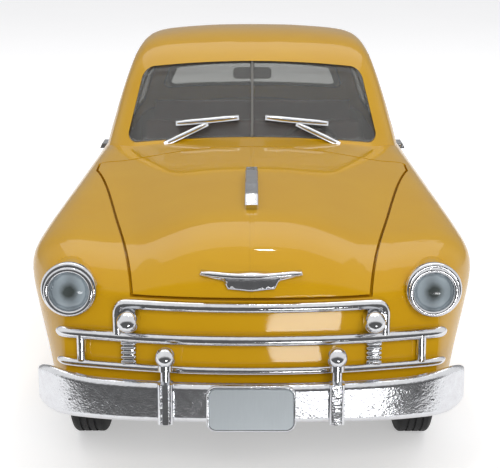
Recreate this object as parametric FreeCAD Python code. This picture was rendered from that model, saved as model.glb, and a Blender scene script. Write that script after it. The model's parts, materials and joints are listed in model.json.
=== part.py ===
"""Friction toy car: a 1:24 early-1950s saloon with a painted body shell, an opening hood,
plated trim, rubber tyres and a geared flywheel motor on the rear axle.

Millimetres. +Z is up and the tyres stand on z = 0, the front bumper points to -Y, and +X is
the car's left side, where the steering wheel is. The origin is under the middle of the car.
"""
import FreeCAD, Part
import functools
import math
import os
from FreeCAD import Vector

# ---------------------------------------------------------------- driving dimensions
LENGTH = 209.0              # over the guards of both bumpers
BODY_WIDTH = 79.2           # over the fenders
COWL_HEIGHT = 50.0          # highest line of the body below the cabin
ROOF_HEIGHT = 69.9
SILL_HEIGHT = 12.2          # lower edge of the body sides
WALL = 1.2                  # thickness of the body shell
BUMPER_SETBACK = 5.5        # from the face of a bumper guard to the body

WHEELBASE = 121.7
FRONT_OVERHANG = 35.0       # from the face of the front guards to the front axle
FRONT_TRACK = 60.3
REAR_TRACK = 62.2
TYRE_DIAMETER = 30.0
TYRE_WIDTH = 7.1
RIM_DIAMETER = 18.6
AXLE_RADIUS = 1.0
ARCH_CLEARANCE = 2.2        # from the front tyre's tread to the edge of its arch
REAR_ARCH_TOP = 26.5        # the rear arch hangs lower over its tyre
REAR_ARCH_RADIUS = 20.0

# fits
RUNNING = 0.05              # radial play of a turning shaft
SEAM = 0.5                  # gap round the hood
CLEAR = 0.3                 # air between pieces that do not touch
SEATED = 0.02               # air between a trim piece and the paint it lies on

# ---------------------------------------------------------------- derived places
HALF_WIDTH = BODY_WIDTH / 2
FRONT_Y = -LENGTH / 2
REAR_Y = LENGTH / 2
NOSE_Y = FRONT_Y + BUMPER_SETBACK
TAIL_Y = REAR_Y - BUMPER_SETBACK
BODY_LENGTH = TAIL_Y - NOSE_Y
TYRE_RADIUS = TYRE_DIAMETER / 2
RIM_RADIUS = RIM_DIAMETER / 2
AXLE_Z = TYRE_RADIUS
FRONT_AXLE_Y = FRONT_Y + FRONT_OVERHANG
REAR_AXLE_Y = FRONT_AXLE_Y + WHEELBASE
REACH = LENGTH              # long enough to cut right through the car

# ---------------------------------------------------------------- shape of the lower body
# Each feature line runs from the nose (0) to the tail (1) as a share of the body's length.
# Heights are shares of the cowl's height and widths are shares of the half width.
CROWN_HEIGHT = ((0, 0.884), (0.07, 0.906), (0.18, 0.955), (0.31, 0.992), (0.40, 1.0),
                (0.68, 0.984), (0.78, 0.956), (0.86, 0.912), (0.93, 0.852), (1, 0.79))
SPREAD_HEIGHT = ((0, 0.864), (0.07, 0.890), (0.18, 0.937), (0.31, 0.976), (0.40, 0.988),
                 (0.68, 0.972), (0.78, 0.940), (0.86, 0.892), (0.93, 0.832), (1, 0.77))
VALLEY_WIDTH = ((0, 0.53), (0.07, 0.57), (0.18, 0.635), (0.31, 0.697), (0.40, 0.68),
                (0.78, 0.657), (0.93, 0.593), (1, 0.556))
VALLEY_HEIGHT = ((0, 0.772), (0.07, 0.808), (0.18, 0.86), (0.28, 0.912), (0.35, 0.94),
                 (0.40, 0.956), (0.68, 0.94), (0.78, 0.904), (0.86, 0.852), (0.93, 0.78),
                 (1, 0.71))
CREST_WIDTH = ((0, 0.783), (0.07, 0.818), (0.18, 0.818), (0.31, 0.783), (0.40, 0.742),
               (0.58, 0.745), (0.78, 0.783), (0.93, 0.694), (1, 0.631))
CREST_HEIGHT = ((0, 0.824), (0.07, 0.84), (0.18, 0.884), (0.31, 0.926), (0.40, 0.96),
                (0.68, 0.932), (0.78, 0.892), (0.86, 0.836), (0.93, 0.76), (1, 0.69))
SHOULDER_WIDTH = ((0, 0.939), (0.07, 0.98), (0.134, 0.965), (0.20, 0.93), (0.30, 0.894),
                  (0.40, 0.854), (0.58, 0.854), (0.73, 0.884), (0.86, 0.823), (0.93, 0.768),
                  (1, 0.707))
FLANK_WIDTH = ((0, 0.86), (0.023, 0.94), (0.048, 0.995), (0.083, 1.015), (0.149, 1.01),
               (0.28, 0.99), (0.40, 0.96), (0.58, 0.949), (0.64, 0.975), (0.73, 0.98),
               (0.86, 0.90), (0.93, 0.833), (1, 0.758))
SKIRT_WIDTH = ((0, 0.85), (0.023, 0.90), (0.048, 0.93), (0.10, 0.96), (0.134, 0.98),
               (0.28, 0.97), (0.40, 0.949), (0.58, 0.939), (0.64, 0.965), (0.73, 0.97),
               (0.86, 0.889), (0.93, 0.828), (1, 0.747))
# The four rows of the sides: height, and at least this far below the shoulder row (mm).
SIDE_LEVELS = ((0.31, 17.5), (0.45, 13.0), (0.57, 8.5), (0.69, 3.9))
SILL_TUCK = 2.6                     # how far the skin's border is drawn in under the skirt
BORDER_DROP = 4.0                   # the skin's border lies this far below the sill
SHOULDER_DROP = 2.8                 # shoulder row below the crest
MIDDLE_STATIONS = (0.114, 0.174, 0.235, 0.295, 0.356, 0.427, 0.502, 0.578, 0.64, 0.70, 0.77,
                   0.84)
# A rounded end as (share of its length, share of its draw), from the end inwards.
ROUNDING = ((0, 1), (0, 0.8), (0.09, 0.55), (0.30, 0.27), (0.62, 0.08), (1, 0))
# How far each row is drawn in (across, down) at the nose and at the tail, from sill to centre.
NOSE_DRAW = ((0.6, 0), (1.2, 0), (1.4, 0), (1.6, 0), (3.0, 1.5), (6.5, 4.5), (3.5, 8.2),
             (0.5, 5.6), (0, 6.6), (0, 8.6), (0, 9.8), (0, 10.0))
TAIL_DRAW = ((1, 0), (1.5, 0), (2, 0), (2.4, 0), (3.0, 0.8), (4.5, 2.5), (3.5, 4.5), (1.5, 6),
             (0.8, 7), (0.3, 8), (0, 8.5), (0, 8.5))
NOSE_ROUNDING = 14.0        # length over which the nose rounds over
TAIL_ROUNDING = 22.0
NOSE_BOW = 5.2              # how far the nose runs back at the headlights
NOSE_BOW_LENGTH = 40.0      # the bow fades out over this length
TAIL_BOW = 7.0
TAIL_BOW_LENGTH = 45.0
BOW_POWER = 2.2
BOW_HALF_WIDTH = 30.0       # half width at which the bows are stated

# ---------------------------------------------------------------- shape of the cabin
# Slices from the windshield's foot to the rear window's foot: place along the body, centre
# height, roof edge's half width and height, belt's half width and how far the edge lies behind
# the centre. Lengths are shares of the body's length, heights run from the cowl (0) to the
# roof (1) and widths are shares of the half width.
CABIN_SLICES = (
    (0.319, -0.17, 0.765, -0.25, 0.841, 0.040), (0.336, -0.05, 0.763, -0.18, 0.841, 0.038),
    (0.357, 0.15, 0.750, 0.03, 0.838, 0.033), (0.391, 0.48, 0.710, 0.36, 0.836, 0.026),
    (0.419, 0.75, 0.679, 0.62, 0.833, 0.017), (0.455, 0.93, 0.662, 0.79, 0.828, 0.010),
    (0.503, 1.00, 0.657, 0.85, 0.826, 0.003), (0.568, 1.00, 0.657, 0.85, 0.821, 0.0),
    (0.634, 0.95, 0.652, 0.81, 0.816, -0.003), (0.687, 0.82, 0.641, 0.68, 0.808, -0.013),
    (0.725, 0.57, 0.646, 0.41, 0.803, -0.023), (0.760, 0.21, 0.672, 0.07, 0.798, -0.033),
    (0.788, -0.11, 0.697, -0.20, 0.793, -0.040), (0.806, -0.28, 0.712, -0.35, 0.790, -0.045))
CABIN_FOOT = 36.0           # the cabin's skin starts inside the lower body
ROOF_EDGE_RADIUS = 1.8


# ---------------------------------------------------------------- plain shapes
def box(x, y, z):
    """A box from three (low, high) pairs."""
    return Part.makeBox(x[1] - x[0], y[1] - y[0], z[1] - z[0], Vector(x[0], y[0], z[0]))


def rod(start, end, radius):
    """A round bar between two points."""
    run = Vector(*end) - Vector(*start)
    return Part.makeCylinder(radius, run.Length, Vector(*start), run)


def joined(shapes):
    """One shape out of several that overlap or touch."""
    shapes = list(shapes)
    return shapes[0].fuse(shapes[1:])


def polygon(points):
    """A flat face with straight sides."""
    return Part.Face(Part.makePolygon([Vector(*p) for p in list(points) + [points[0]]]))


def side_plate(outline, x):
    """A plate between the two x values, cut to a (y, z) outline."""
    face = polygon([(x[0], y, z) for y, z in outline])
    return face.extrude(Vector(x[1] - x[0], 0, 0))


def front_plate(outline, y):
    """A plate between the two y values, cut to an (x, z) outline."""
    face = polygon([(x, y[0], z) for x, z in outline])
    return face.extrude(Vector(0, y[1] - y[0], 0))


def along(shape, axis):
    """The straight edges of a shape that run along one axis."""
    return [e for e in shape.Edges if isinstance(e.Curve, Part.Line)
            and abs(abs(e.Curve.Direction.dot(axis)) - 1) < 1e-6]


def turned(outline, centre):
    """A body of revolution about the X axis through the centre, from (radius, x) points."""
    face = polygon([(centre[0] + x, centre[1], centre[2] + r) for r, x in outline])
    return face.revolve(Vector(*centre), Vector(1, 0, 0), 360)


def turned_along_y(outline, centre):
    """A body of revolution about the Y axis through the centre, from (radius, y) points."""
    face = polygon([(centre[0] + r, centre[1] + y, centre[2]) for r, y in outline])
    return face.revolve(Vector(*centre), Vector(0, 1, 0), 360)


def mirrored(shape):
    """The same shape on the other side of the car."""
    return shape.mirror(Vector(0, 0, 0), Vector(1, 0, 0))


def both_sides(shape):
    """The shape and its mirror image."""
    return [shape, mirrored(shape)]


# ---------------------------------------------------------------- body skins
def line_through(table):
    """A smooth line through (place, value) pairs that never overshoots them."""
    at = [p for p, _ in table]
    value = [v for _, v in table]
    step = [b - a for a, b in zip(at, at[1:])]
    rise = [(v - u) / h for u, v, h in zip(value, value[1:], step)]
    slope = [rise[0]]
    for k in range(1, len(rise)):
        before, after = rise[k - 1], rise[k]
        near, far = step[k - 1] + 2 * step[k], 2 * step[k - 1] + step[k]
        flat = before * after <= 0
        slope.append(0 if flat else (near + far) / (near / after + far / before))
    slope.append(rise[-1])

    def value_at(place):
        k = max(i for i in range(len(step)) if at[i] <= place or i == 0)
        h = step[k]
        t = (place - at[k]) / h
        ends = (1 + 2 * t) * (1 - t) ** 2 * value[k] + t * t * (3 - 2 * t) * value[k + 1]
        return ends + t * (1 - t) ** 2 * h * slope[k] - t * t * (1 - t) * h * slope[k + 1]
    return value_at


crown_height, spread_height, valley_width, valley_height, crest_width, crest_height = map(
    line_through, (CROWN_HEIGHT, SPREAD_HEIGHT, VALLEY_WIDTH, VALLEY_HEIGHT, CREST_WIDTH,
                   CREST_HEIGHT))
shoulder_width, flank_width, skirt_width = map(
    line_through, (SHOULDER_WIDTH, FLANK_WIDTH, SKIRT_WIDTH))


def half_section(place):
    """Control points (x, z) of the left half of the body, from the sill to the centre line."""
    skirt, flank = skirt_width(place) * HALF_WIDTH, flank_width(place) * HALF_WIDTH
    shoulder, crest = shoulder_width(place) * HALF_WIDTH, crest_width(place) * HALF_WIDTH
    valley = valley_width(place) * HALF_WIDTH
    crest_z, valley_z = crest_height(place) * COWL_HEIGHT, valley_height(place) * COWL_HEIGHT
    spread_z, crown_z = spread_height(place) * COWL_HEIGHT, crown_height(place) * COWL_HEIGHT
    low, high, flank_low, flank_high = [
        min(level * COWL_HEIGHT, crest_z - SHOULDER_DROP - below) for level, below in SIDE_LEVELS]
    return [(skirt - SILL_TUCK, SILL_HEIGHT - BORDER_DROP), (skirt - 0.4 * SILL_TUCK, low),
            (skirt, high), ((skirt + flank) / 2, flank_low), (flank, flank_high),
            (shoulder, crest_z - SHOULDER_DROP), (crest, crest_z), (valley, valley_z),
            (0.78 * valley, (valley_z + spread_z) / 2), (0.5 * valley, spread_z),
            (0.25 * valley, crown_z), (0.0, crown_z)]


def whole(columns):
    """The control net of a symmetrical skin from the columns of its left half."""
    rows = [[column[i] for column in columns] for i in range(len(columns[0]))]
    return rows + [[Vector(-p.x, p.y, p.z) for p in row] for row in reversed(rows[:-1])]


def bow(x, place):
    """How far a point of the body runs back at the nose, or forward at the tail."""
    reach = abs(x / BOW_HALF_WIDTH) ** BOW_POWER
    from_nose, from_tail = place * BODY_LENGTH, (1 - place) * BODY_LENGTH
    nose = NOSE_BOW * max(0, 1 - from_nose / NOSE_BOW_LENGTH)
    tail = TAIL_BOW * max(0, 1 - from_tail / TAIL_BOW_LENGTH)
    return reach * (nose - tail)


def hull_net():
    """Control net of the lower body."""
    stations = [(share * NOSE_ROUNDING / BODY_LENGTH, draw, NOSE_DRAW)
                for share, draw in ROUNDING]
    stations += [(place, 0, NOSE_DRAW) for place in MIDDLE_STATIONS]
    stations += [(1 - share * TAIL_ROUNDING / BODY_LENGTH, draw, TAIL_DRAW)
                 for share, draw in reversed(ROUNDING)]
    columns = []
    for place, draw, rows in stations:
        column = []
        for (x, z), (inward, down) in zip(half_section(place), rows):
            x = x - inward * draw
            y = NOSE_Y + place * BODY_LENGTH + bow(x, place)
            column.append(Vector(x, y, z - down * draw))
        columns.append(column)
    return whole(columns)


def cabin_net():
    """Control net of the roof, the pillars and the windows between them."""
    above = ROOF_HEIGHT - COWL_HEIGHT
    columns = []
    for place, centre, edge_width, edge_height, belt, lag in CABIN_SLICES:
        top, edge_z = COWL_HEIGHT + centre * above, COWL_HEIGHT + edge_height * above
        edge_x, belt_x = edge_width * HALF_WIDTH, belt * HALF_WIDTH
        rise = edge_z - CABIN_FOOT
        points = [(belt_x + 1.0, CABIN_FOOT), (belt_x, CABIN_FOOT + 0.35 * rise),
                  ((belt_x + edge_x) / 2 + 0.2, CABIN_FOOT + 0.68 * rise),
                  (edge_x + 0.5 * ROOF_EDGE_RADIUS, edge_z - ROOF_EDGE_RADIUS),
                  (edge_x - ROOF_EDGE_RADIUS, min(edge_z + 1.6, top - 0.3)),
                  (0.62 * edge_x, top - 0.18 * (top - edge_z)), (0.3 * edge_x, top), (0.0, top)]
        y = NOSE_Y + place * BODY_LENGTH
        columns.append([Vector(x, y + lag * BODY_LENGTH * min(1, x / edge_x) ** 2, z)
                        for x, z in points])
    return whole(columns)


def drawn_in(net, depth):
    """A net drawn in on every side by a depth, so that the two skins leave a wall."""
    return [[Vector(p.x * (1 - depth / HALF_WIDTH), p.y * (1 - 2 * depth / BODY_LENGTH),
                    p.z - depth * p.z / COWL_HEIGHT) for p in row] for row in net]


def spline_knots(count):
    """Knots and multiplicities of a clamped cubic spline with that many control points."""
    spans = count - 3
    return [k / spans for k in range(spans + 1)], [4] + [1] * (spans - 1) + [4]


def spline_edge(points):
    """A cubic spline edge on its control points."""
    knots, repeats = spline_knots(len(points))
    curve = Part.BSplineCurve()
    curve.buildFromPolesMultsKnots(points, repeats, knots, False, 3)
    return curve.toShape()


def under_skin(net, floor):
    """The solid under a spline skin, walled down to a flat floor below its border."""
    surface = Part.BSplineSurface()
    (knots_u, repeats_u), (knots_v, repeats_v) = spline_knots(len(net)), spline_knots(len(net[0]))
    surface.buildFromPolesMultsKnots(net, repeats_u, repeats_v, knots_u, knots_v,
                                     False, False, 3, 3)
    faces = [surface.toShape()]
    feet = []
    borders = (net[0], [row[-1] for row in net], net[-1], [row[0] for row in net])
    for number, border in enumerate(borders):
        if number % 2:          # the nose and the tail: their foot runs straight across
            middle, last = border[len(border) // 2], len(border) - 1
            start, end = border[0], border[-1]
            across = [start.x + (end.x - start.x) * k / last for k in range(last + 1)]
            lag = start.y - middle.y
            foot = [Vector(x, middle.y + lag * abs(x / start.x) ** BOW_POWER, floor)
                    for x in across]
        else:
            foot = [Vector(p.x, p.y, floor) for p in border]
        feet.append(spline_edge(foot))
        faces.append(Part.makeRuledSurface(spline_edge(border), feet[-1]))
    faces.append(Part.Face(Part.Wire(Part.__sortEdges__(feet))))
    shell = Part.makeShell(faces)
    shell.sewShape()
    solid = Part.makeSolid(shell)
    if solid.Volume < 0:
        solid.reverse()
    return solid


@functools.lru_cache(maxsize=None)
def hull(depth, floor=0.0):
    """The lower body as a solid, its skin drawn in by a depth or, if negative, pushed out."""
    return under_skin(drawn_in(hull_net(), depth), floor)


@functools.lru_cache(maxsize=None)
def cabin(depth, floor=CABIN_FOOT - 8):
    """The cabin as a solid, its skin drawn in by a depth."""
    return under_skin(drawn_in(cabin_net(), depth), floor)


def on_the_body(prism, height):
    """The raised piece that a prism leaves on the skin of the lower body."""
    return prism.common(hull(-height)).cut(hull(-SEATED))


# ---------------------------------------------------------------- body shell and glass
# Windshield and rear window: half width, edge height and middle height of the lower edge, then
# of the upper edge. Side windows: (y, z) corners.
FRONT_GLASS = ((27.2, 47.7, 49.8), (23.9, 62.7, 64.3))
REAR_GLASS = ((23.0, 51.2, 51.8), (20.5, 60.2, 62.3))
DOOR_GLASS = ((-15.8, 49.2), (-5.5, 62.8), (12.0, 64.2), (12.6, 49.2))
QUARTER_GLASS = ((16.6, 49.2), (16.2, 63.6), (24.0, 62.0), (34.0, 52.6), (33.2, 49.2))
GLASS_CORNER = 1.6
HEADER_CORNER = 3.4         # upper corners of the windshield
GLASS_THICKNESS = 0.8
GLASS_LAP = 0.7             # the panes lap the openings from inside
GLASS_PLAY = 0.05           # round the part of a pane that fills its opening
GLASS_SET = 0.35            # the panes' outer face lies this far below the paint

# Shut lines pressed in the shell: the door's corners as (y, z), the trunk lid's half width.
DOOR_LINE = ((14.4, 17.6), (14.4, 65.2), (-5.6, 64.2), (-17.4, 49.6), (-21.6, 44.0),
             (-22.6, 17.6))
TRUNK_HALF_WIDTH = 24.5
TRUNK_HEIGHTS = (27.0, 46.2)
SHUT_LINE_WIDTH = 0.36
SHUT_LINE_DEPTH = 0.25

HOOD_HALF_WIDTHS = ((7.0, 19.7), (16.0, 21.5), (30.0, 24.4), (48.0, 28.0), (60.0, 31.2))
HOOD_REAR = 63.8            # from the front guards to the hood's rear edge on the centre line
HOOD_REAR_LEAD = -1.2       # the rear edge's corners lie this far ahead of its middle
HOOD_LIP_HEIGHT = 34.2
HINGE_BEHIND = 8.0          # hinge axis behind the hood's rear edge
HINGE_BELOW = 4.6           # hinge axis below the cowl
HINGE_ROD_RADIUS = 0.8
HINGE_EYE_RADIUS = 1.8
HINGE_X = 12.0              # the arms' distance from the centre
HINGE_ARM_WIDTH = 2.0
HINGE_ARM_DEPTH = 6.8       # how far the arms reach down below the axis
HINGE_LUG_WIDTH = 1.6
HINGE_NECK_INSET = 4.0      # from the hood's rear edge to the middle of the arms' necks
HEADLIGHT_X = 30.7
HEADLIGHT_Z = 34.5
HEADLIGHT_SETBACK = 9.4     # from the front guards to the lens
HEADLIGHT_BEZEL_RADIUS = 4.3
HEADLIGHT_LENS_RADIUS = 3.6
HEADLIGHT_DEPTH = 5.0

HINGE_Y = FRONT_Y + HOOD_REAR + HINGE_BEHIND
HINGE_Z = COWL_HEIGHT - HINGE_BELOW


def rounded(shape, axis, radius):
    """The shape with its straight edges along an axis rounded."""
    return shape.makeFillet(radius, along(shape, axis))


def wider(outline, by):
    """An outline grown on every side, away from its middle."""
    middle_u = sum(u for u, _ in outline) / len(outline)
    middle_v = sum(v for _, v in outline) / len(outline)
    return [(u + by * math.copysign(1, u - middle_u), v + by * math.copysign(1, v - middle_v))
            for u, v in outline]


def curved_window(edges, lap, end_y):
    """A prism through a window whose lower and upper edges are arcs."""
    (low_x, low_edge, low_middle), (high_x, high_edge, high_middle) = edges
    low_x, high_x = low_x + lap, high_x + lap
    low = [Vector(-low_x, 0, low_edge - lap), Vector(0, 0, low_middle - lap),
           Vector(low_x, 0, low_edge - lap)]
    high = [Vector(high_x, 0, high_edge + lap), Vector(0, 0, high_middle + lap),
            Vector(-high_x, 0, high_edge + lap)]
    edges = [Part.Arc(*low).toShape(), Part.makeLine(low[-1], high[0]),
             Part.Arc(*high).toShape(), Part.makeLine(high[-1], low[0])]
    return Part.Face(Part.Wire(edges)).extrude(Vector(0, end_y, 0))


def window_prisms(lap):
    """Prisms through the windshield, the rear window and the left side's windows."""
    front = curved_window(FRONT_GLASS, lap, NOSE_Y)
    rear = curved_window(REAR_GLASS, lap, TAIL_Y)
    sides = [side_plate(wider(outline, lap), (0, REACH))
             for outline in (DOOR_GLASS, QUARTER_GLASS)]
    across, lengthways = Vector(1, 0, 0), Vector(0, 1, 0)
    upper = [e for e in along(front, lengthways) if e.BoundBox.ZMin > FRONT_GLASS[0][2] + 2 * lap]
    front = front.makeFillet(HEADER_CORNER + lap, upper)
    lower = [e for e in along(front, lengthways) if e.BoundBox.ZMax < FRONT_GLASS[0][2]]
    return ([front.makeFillet(GLASS_CORNER, lower), rounded(rear, lengthways, GLASS_CORNER)]
            + [rounded(side, across, GLASS_CORNER) for side in sides])


def hood_prism(grown):
    """The upright prism that parts the hood from the body, grown outwards by an amount."""
    side = [Vector(half + grown, FRONT_Y + place, 0) for place, half in HOOD_HALF_WIDTHS]
    curve = Part.BSplineCurve()
    curve.interpolate(side)
    other = Part.BSplineCurve()
    other.interpolate([Vector(-p.x, p.y, 0) for p in reversed(side)])
    rear_y = FRONT_Y + HOOD_REAR + grown
    corner, far_corner = side[-1], Vector(-side[-1].x, side[-1].y, 0)
    shoulder = Vector(corner.x, rear_y - HOOD_REAR_LEAD, 0)
    far_shoulder = Vector(-corner.x, shoulder.y, 0)
    front_y = FRONT_Y
    start, far_start = Vector(side[0].x, front_y, 0), Vector(-side[0].x, front_y, 0)
    edges = [Part.makeLine(start, side[0]), curve.toShape(), Part.makeLine(corner, shoulder),
             Part.Arc(shoulder, Vector(0, rear_y, 0), far_shoulder).toShape(),
             Part.makeLine(far_shoulder, far_corner), other.toShape(),
             Part.makeLine(Vector(-side[0].x, side[0].y, 0), far_start),
             Part.makeLine(far_start, start)]
    face = Part.Face(Part.Wire(edges))
    face.translate(Vector(0, 0, HOOD_LIP_HEIGHT - grown))
    return face.extrude(Vector(0, 0, ROOF_HEIGHT))


def arches():
    """Cutters for the four wheel arches."""
    front = rod((-REACH, FRONT_AXLE_Y, AXLE_Z), (REACH, FRONT_AXLE_Y, AXLE_Z),
                TYRE_RADIUS + ARCH_CLEARANCE)
    centre_z = REAR_ARCH_TOP - REAR_ARCH_RADIUS
    rear = rod((-REACH, REAR_AXLE_Y, centre_z), (REACH, REAR_AXLE_Y, centre_z),
               REAR_ARCH_RADIUS)
    return [front, rear]


def headlight_rod(radius, front, depth):
    """A round bar along the left headlight's axis."""
    y = FRONT_Y + HEADLIGHT_SETBACK
    return rod((HEADLIGHT_X, y + front, HEADLIGHT_Z), (HEADLIGHT_X, y + front + depth,
                                                      HEADLIGHT_Z), radius)


def closed_shell():
    """The painted shell before the hood is parted from it."""
    inside_hull, inside_cabin = hull(WALL, -3.0), cabin(WALL, CABIN_FOOT - 11)
    below = box((-REACH, REACH), (-REACH, REACH), (-REACH, SILL_HEIGHT))
    lower = hull(0).cut(inside_hull).cut(below).cut(inside_cabin)
    upper = cabin(0).cut(inside_cabin).cut(inside_hull)
    shell = lower.fuse(upper)
    front, rear, door, quarter = window_prisms(0)
    return shell.cut(arches() + [front, rear] + both_sides(door) + both_sides(quarter)
                     + shut_lines())


def shut_line(face, run):
    """A shallow groove in the shell along the border of a flat face, pressed in along a run."""
    half = SHUT_LINE_WIDTH / 2
    ring = face.makeOffset2D(half).cut(face.makeOffset2D(-half))
    return ring.extrude(run).cut([hull(SHUT_LINE_DEPTH), cabin(SHUT_LINE_DEPTH)])


def shut_lines():
    """The lines round both doors and the trunk lid, as cutters."""
    door = shut_line(polygon([(HALF_WIDTH / 2, y, z) for y, z in DOOR_LINE]), Vector(REACH, 0, 0))
    half, (low, high) = TRUNK_HALF_WIDTH, TRUNK_HEIGHTS
    lid = shut_line(polygon([(-half, TAIL_Y / 2, low), (half, TAIL_Y / 2, low),
                             (half, TAIL_Y / 2, high), (-half, TAIL_Y / 2, high)]),
                    Vector(0, TAIL_Y, 0))
    return both_sides(door) + [lid]


def hinge_lugs():
    """Two lugs under the cowl that hold the hood's hinge rod."""
    inner = HINGE_X + HINGE_ARM_WIDTH / 2 + CLEAR
    lug = box((inner, inner + HINGE_LUG_WIDTH), (HINGE_Y - HINGE_EYE_RADIUS,
                                                HINGE_Y + HINGE_EYE_RADIUS),
              (HINGE_Z - HINGE_EYE_RADIUS, COWL_HEIGHT))
    bore = rod((0, HINGE_Y, HINGE_Z), (REACH, HINGE_Y, HINGE_Z), HINGE_ROD_RADIUS)
    return both_sides(lug.common(hull(WALL / 2)).cut(bore))


def body_shell(shell):
    bucket = headlight_rod(HEADLIGHT_BEZEL_RADIUS, CLEAR, HEADLIGHT_DEPTH + 2 * WALL)
    body = shell.cut(hood_prism(SEAM))
    body = body.fuse(both_sides(bucket) + hinge_lugs())
    bore = headlight_rod(HEADLIGHT_LENS_RADIUS, -HEADLIGHT_SETBACK,
                         HEADLIGHT_SETBACK + HEADLIGHT_DEPTH + WALL)
    return body.cut(both_sides(bore))


def hood_panel(shell):
    """The hood with its two goose-neck arms, which turn on the hinge rod."""
    panel = shell.common(hood_prism(0))
    root_y = FRONT_Y + HOOD_REAR - HINGE_NECK_INSET
    bottom = HINGE_Z - HINGE_ARM_DEPTH
    half = HINGE_ARM_WIDTH / 2
    left, right = HINGE_X - half, HINGE_X + half
    neck = box((left, right), (root_y - half, root_y + half), (bottom - half, COWL_HEIGHT))
    neck = neck.common(hull(WALL / 2))
    foot = box((left, right), (root_y - half, HINGE_Y + half), (bottom - half, bottom + half))
    heel = box((left, right), (HINGE_Y - half, HINGE_Y + half), (bottom - half, HINGE_Z))
    eye = rod((left, HINGE_Y, HINGE_Z), (right, HINGE_Y, HINGE_Z), HINGE_EYE_RADIUS)
    bore = rod((0, HINGE_Y, HINGE_Z), (REACH, HINGE_Y, HINGE_Z), HINGE_ROD_RADIUS + RUNNING)
    arm = joined([neck, foot, heel, eye]).cut(bore)
    return panel.fuse(both_sides(arm))


def hinge_rod():
    reach = HINGE_X + HINGE_ARM_WIDTH / 2 + CLEAR + HINGE_LUG_WIDTH
    return rod((-reach, HINGE_Y, HINGE_Z), (reach, HINGE_Y, HINGE_Z), HINGE_ROD_RADIUS)


def panes():
    """The clear panes: each fills its opening and laps it from inside."""
    back = cabin(WALL + GLASS_THICKNESS, CABIN_FOOT - 11)
    solids = []
    for wide, narrow in zip(window_prisms(GLASS_LAP), window_prisms(-GLASS_PLAY)):
        flange = cabin(WALL + SEATED).common(wide)
        solids.append(flange.fuse(cabin(GLASS_SET).common(narrow)).cut(back))
    front, rear, door, quarter = solids
    side = Part.makeCompound([door, quarter])
    return {"windshield_glass": front, "rear_window_glass": rear,
            "side_glass_left": side, "side_glass_right": mirrored(side)}


# ---------------------------------------------------------------- lamps
BEZEL_DEPTH = 1.6
BEZEL_BROW = 0.5            # the bezel is thicker above the lens
LENS_THICKNESS = 0.7
LENS_BULGE = 0.9
REFLECTOR_WALL = 0.6


def headlight():
    """Bezel, lens and reflector of the left headlight, from the front backwards."""
    centre = (HEADLIGHT_X, FRONT_Y + HEADLIGHT_SETBACK, HEADLIGHT_Z)
    outer, inner = HEADLIGHT_BEZEL_RADIUS, HEADLIGHT_LENS_RADIUS
    bezel = turned_along_y([(inner, -LENS_THICKNESS), (inner + 0.25, -BEZEL_DEPTH),
                            (outer - 0.3, -BEZEL_DEPTH), (outer, -BEZEL_DEPTH + 0.5),
                            (outer, CLEAR), (inner, CLEAR)], centre)
    brow = turned_along_y([(outer - 0.2, -BEZEL_DEPTH + 0.3), (outer + BEZEL_BROW, -0.6),
                           (outer + BEZEL_BROW, CLEAR), (outer - 0.2, CLEAR)], centre)
    above = box((-REACH, REACH), (-REACH, REACH), (HEADLIGHT_Z + 1.0, REACH))
    bezel = bezel.fuse(brow.common(above)).removeSplitter()
    dome = (inner * inner + LENS_BULGE * LENS_BULGE) / (2 * LENS_BULGE)
    ball = Part.makeSphere(dome, Vector(centre[0], centre[1] - LENS_THICKNESS - LENS_BULGE
                                        + dome, centre[2]))
    lens = ball.common(headlight_rod(inner, -2 * BEZEL_DEPTH, 2 * BEZEL_DEPTH))
    cup = headlight_rod(inner, 0, HEADLIGHT_DEPTH)
    bowl = Part.makeCone(inner - REFLECTOR_WALL, inner / 2, HEADLIGHT_DEPTH - REFLECTOR_WALL,
                         Vector(*centre), Vector(0, 1, 0))
    bulb = Part.makeSphere(inner / 4, Vector(centre[0], centre[1] + HEADLIGHT_DEPTH
                                             - REFLECTOR_WALL, centre[2]))
    return {"headlight_bezel": bezel, "headlight_lens": lens,
            "headlight_reflector": cup.cut(bowl).fuse(bulb.common(cup)).removeSplitter()}


TAIL_LAMP_X = 26.5
TAIL_LAMP_Z = 32.5
TAIL_LAMP_RADIUS = 2.6
TAIL_LAMP_RIM = 0.7
TAIL_LAMP_HEIGHT = 1.3


def tail_lamp():
    """Rim and red lens of the left tail lamp."""
    start, end = (TAIL_LAMP_X, REAR_Y / 2, TAIL_LAMP_Z), (TAIL_LAMP_X, REAR_Y, TAIL_LAMP_Z)
    inner, outer = rod(start, end, TAIL_LAMP_RADIUS), rod(start, end,
                                                          TAIL_LAMP_RADIUS + TAIL_LAMP_RIM)
    return {"tail_lamp_rim": on_the_body(outer, 0.7 * TAIL_LAMP_HEIGHT).cut(inner),
            "tail_lamp_lens": on_the_body(inner, TAIL_LAMP_HEIGHT)}


# ---------------------------------------------------------------- grille and bumpers
GRILLE_DEPTH = 1.9          # how far the grille bars stand out from the body
GRILLE_CORNER = 2.4
UPPER_BAR = (31.8, 33.6)    # lower and upper edge
MIDDLE_BAR = (26.0, 28.0)
LOWER_BAR = (21.1, 22.5)
UPPER_BAR_END = 23.4
LONG_BAR_END = 33.6
BAR_DROOP = 0.4             # the long bars' ends hang this far below their middle
BAR_EDGE = 0.4              # a bar's edges step back from its crest by this much
POST_X = 20.7
POST_WIDTH = 2.6
POST_RIBS = 5
OUTER_POST_X = 29.0
OUTER_POST_WIDTH = 1.6
PARKING_LAMP_X = 20.5
PARKING_LAMP_Z = 30.4
PARKING_LAMP_RADIUS = 1.85
PARKING_LAMP_LENGTH = 1.6

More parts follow.
